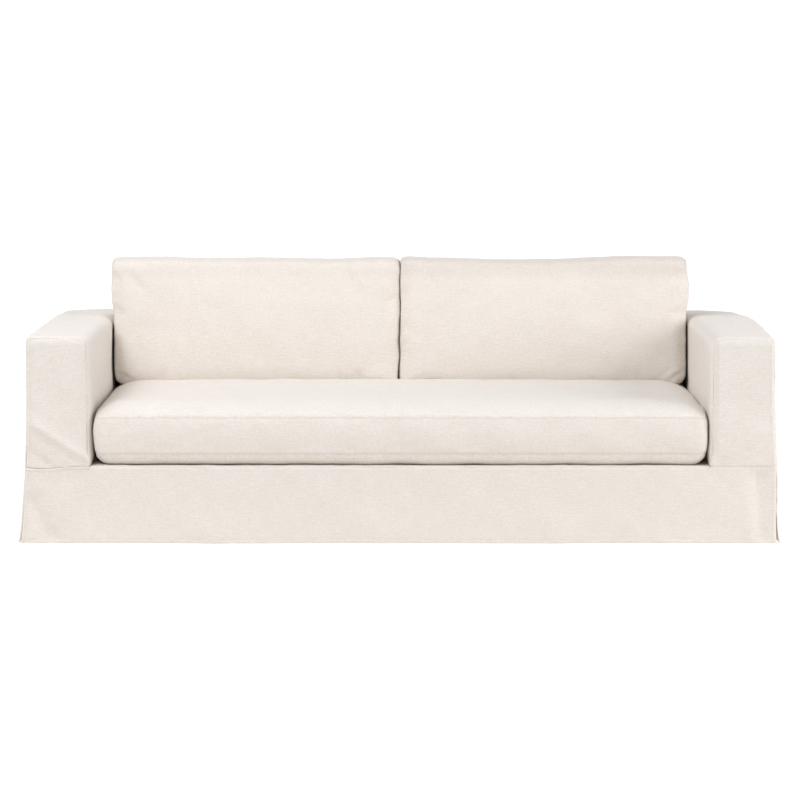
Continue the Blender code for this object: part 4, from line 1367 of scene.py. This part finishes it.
class SlipcoverSizes(bpy.types.PropertyGroup):
    """Sizes of the cloth, its sewing and its filling."""

    cloth: length("Cloth", "Thickness of the cloth", 0.0025)
    weave: length("Weave", "Distance between two yarns", 0.0013)
    seam_dip: length("Seam dip", "How far the cloth is drawn in along a seam", 0.0014)
    stitch_inset: length("Topstitch inset", "From a seam to its topstitching", 0.0175)
    hem_depth: length("Hem", "Height of the hem's stitching above its edge", 0.0125)
    stitch_pitch: length("Stitch pitch", "From one stitch to the next", 0.0050)
    stitch_length: length("Stitch length", "Length of one stitch", 0.0038)
    thread: length("Thread", "Thickness of the thread", 0.0009)
    seat_swell: length("Seat swell", "How far filling may push the seat's cloth", 0.010)
    back_swell: length("Back swell", "How far filling may push the backs' cloth", 0.012)


class SlipcoverColours(bpy.types.PropertyGroup):
    """Colours of the cloth, the thread and the floor."""

    body: colour("Body", "Cloth of the body cover", (0.706, 0.650, 0.592))
    seat: colour("Seat", "Cloth of the seat cushion", (0.706, 0.650, 0.592))
    # The back cushions are the same linen as the rest; their lighter colour is painted light, standing in
    # for the stronger light on them.
    back: colour("Back", "Cloth of the back cushions", (0.752, 0.688, 0.624))
    thread: colour("Thread", "Sewing thread", (0.80, 0.74, 0.66))
    floor: colour("Floor", "Floor and backdrop", (0.22, 0.22, 0.22))


# ------------------------------------------------------------------ operators


def sew_sheet(context, panel):
    thing = panel.sew(context.scene.slipcover_sizes, kept_linen(context.scene, "body"))


class SLIPCOVER_OT_front_panel(bpy.types.Operator):
    """Sews the full-width panel below the seat"""

    bl_idname = "slipcover.front_panel"
    bl_label = "Front Panel"

    def execute(self, context):
        sew_sheet(context, front_panel())
        return {"FINISHED"}


class SLIPCOVER_OT_deck(bpy.types.Operator):
    """Sews the cloth under the seat cushion"""

    bl_idname = "slipcover.deck"
    bl_label = "Deck"

    def execute(self, context):
        sew_sheet(context, deck_panel())
        return {"FINISHED"}


class SLIPCOVER_OT_arms(bpy.types.Operator):
    """Sews the front, inside and outside of both arms"""

    bl_idname = "slipcover.arms"
    bl_label = "Arms"

    def execute(self, context):
        for hand, side in HANDS:
            sew_sheet(context, arm_front(hand, side))
            inside = inside_arm(hand, side)
            sew_sheet(context, inside)
            sew_sheet(context, outside_arm(hand, side))
        return {"FINISHED"}


class SLIPCOVER_OT_back(bpy.types.Operator):
    """Sews the inside and the outside of the back"""

    bl_idname = "slipcover.back"
    bl_label = "Back"

    def execute(self, context):
        sew_sheet(context, inside_back())
        sew_sheet(context, outside_back())
        return {"FINISHED"}


class SLIPCOVER_OT_stitching(bpy.types.Operator):
    """Stitches the arm fronts, the skirt's corners and the hem"""

    bl_idname = "slipcover.stitching"
    bl_label = "Stitching"

    def execute(self, context):
        sizes, colours = context.scene.slipcover_sizes, context.scene.slipcover_colours
        material = bpy.data.materials.get("sewing_thread") or thread("sewing_thread", colours.thread)
        inset, hem = sizes.stitch_inset, sizes.hem_depth
        skirt, rear = front_panel(), outside_back()
        rows, hems = [], []
        for hand, side in HANDS:
            face, outside = arm_front(hand, side), outside_arm(hand, side)
            by_inner, by_outer = side * (INNER + inset), side * (OUTER - inset)
            for across in (by_inner, by_outer):
                rows.append((face, (across, DECK + ROW_END), (across, ARM_TOP - ROW_END_TOP)))
            rows.append((skirt, (by_outer, ROW_END), (by_outer, DECK - ROW_END)))
            hems.append((outside, (FRONT + ROW_END_TOP, hem), (REAR - ROW_END_TOP, hem)))
        for panel in (skirt, rear):
            hems.append((panel, (-OUTER + ROW_END_TOP, hem), (OUTER - ROW_END_TOP, hem)))
        stitching("topstitching", rows, sizes, material)
        stitching("hem_stitching", hems, sizes, material)
        return {"FINISHED"}


class SLIPCOVER_OT_seat_cushion(bpy.types.Operator):
    """Fills and sews the seat cushion"""

    bl_idname = "slipcover.seat_cushion"
    bl_label = "Seat Cushion"

    def execute(self, context):
        seat_cushion(context.scene.slipcover_sizes, kept_linen(context.scene, "seat"))
        return {"FINISHED"}


class SLIPCOVER_OT_back_cushions(bpy.types.Operator):
    """Fills and sews the two back cushions"""

    bl_idname = "slipcover.back_cushions"
    bl_label = "Back Cushions"

    def execute(self, context):
        material = kept_linen(context.scene, "back")
        for hand, side in HANDS:
            back_cushion(hand, side, context.scene.slipcover_sizes, material)
        return {"FINISHED"}


def soft_light(name, at, power):
    """A large square studio light, turned to the middle of the sofa."""
    data = bpy.data.lights.new(name, "AREA")
    data.shape = "SQUARE"
    data.size = LIGHT_SIZE
    data.energy = power
    data.color = DAYLIGHT
    thing = bpy.data.objects.new(name, data)
    thing.location = at
    thing.rotation_euler = (Vector(LIT_SPOT) - Vector(at)).to_track_quat("-Z", "Y").to_euler()
    bpy.context.scene.collection.objects.link(thing)


class SLIPCOVER_OT_stage(bpy.types.Operator):
    """Sets the floor, the lights and the camera"""

    bl_idname = "slipcover.stage"
    bl_label = "Studio"

    def execute(self, context):
        scene = context.scene
        bpy.ops.object.select_all(action="DESELECT")
        bpy.ops.mesh.primitive_circle_add(
            vertices=96, radius=FLOOR_RADIUS, fill_type="NGON", location=ORIGIN
        )
        floor = context.active_object
        floor.name = "floor"
        material, _, shader = paint("floor_paint")
        feed(shader, Base_Color=(*scene.slipcover_colours.floor, 1.0), Roughness=0.95)
        feed(shader, Emission_Color=(*FLOOR_TINT, 1.0), Emission_Strength=FLOOR_GLOW)
        floor.data.materials.append(material)
        # A dark sheet of painted shade inside the cover.
        bpy.ops.object.select_all(action="DESELECT")
        bpy.ops.mesh.primitive_plane_add(size=1.0, location=ORIGIN)
        underside = context.active_object
        underside.name = "sofa_underside"
        move_to(underside, places(underside) * (*UNDERSIDE, 1.0) + (0.0, 0.0, UNDERSIDE_AT))
        material, _, shader = paint("underside_shade")
        feed(shader, Base_Color=(0.02, 0.02, 0.02, 1.0))
        underside.data.materials.append(material)

        scene.world = bpy.data.worlds.new("studio")
        scene.world.use_nodes = True
        tree = scene.world.node_tree
        seen = tree.nodes.new("ShaderNodeLightPath").outputs["Is Camera Ray"]
        strength = blend(tree, "MULTIPLY_ADD", seen, BACKDROP - SKY, SKY)
        feed(tree.nodes["Background"], Color=(*DAYLIGHT, 1.0), Strength=strength)
        for name, place, power in LIGHTS:
            soft_light(name, place, power)
        scene.view_settings.view_transform = "Standard"

        data = bpy.data.cameras.new("camera")
        data.sensor_width = 36.0
        data.lens = CAMERA_LENS
        data.clip_end = 100.0
        camera = bpy.data.objects.new("camera", data)
        camera.location = CAMERA_AT
        camera.rotation_euler = (math.radians(90.0 - CAMERA_PITCH_DEG), 0.0, 0.0)
        scene.collection.objects.link(camera)
        scene.camera = camera
        return {"FINISHED"}


class SLIPCOVER_PT_pieces(bpy.types.Panel):
    """Lists what can be sewn, with its sizes and colours"""

    bl_idname = "SLIPCOVER_PT_pieces"
    bl_label = "Sofa Slipcover"
    bl_space_type = "VIEW_3D"
    bl_region_type = "UI"
    bl_category = "Slipcover"

    def draw(self, context):
        for operator in OPERATORS:
            self.layout.operator(operator.bl_idname)
        for group in (context.scene.slipcover_sizes, context.scene.slipcover_colours):
            box = self.layout.box()
            for name in group.__annotations__:
                box.prop(group, name)


OPERATORS = (
    SLIPCOVER_OT_front_panel,
    SLIPCOVER_OT_deck,
    SLIPCOVER_OT_arms,
    SLIPCOVER_OT_back,
    SLIPCOVER_OT_stitching,
    SLIPCOVER_OT_seat_cushion,
    SLIPCOVER_OT_back_cushions,
    SLIPCOVER_OT_stage,
)
CLASSES = (SlipcoverSizes, SlipcoverColours, *OPERATORS, SLIPCOVER_PT_pieces)


def register():
    for item in CLASSES:
        bpy.utils.register_class(item)
    bpy.types.Scene.slipcover_sizes = PointerProperty(type=SlipcoverSizes)
    bpy.types.Scene.slipcover_colours = PointerProperty(type=SlipcoverColours)


def unregister():
    del bpy.types.Scene.slipcover_colours
    del bpy.types.Scene.slipcover_sizes
    for item in reversed(CLASSES):
        bpy.utils.unregister_class(item)


def main():
    register()
    bpy.ops.slipcover.front_panel()
    bpy.ops.slipcover.deck()
    bpy.ops.slipcover.arms()
    bpy.ops.slipcover.back()
    bpy.ops.slipcover.stitching()
    bpy.ops.slipcover.seat_cushion()
    bpy.ops.slipcover.back_cushions()
    bpy.ops.slipcover.stage()


if __name__ == "__main__":
    main()
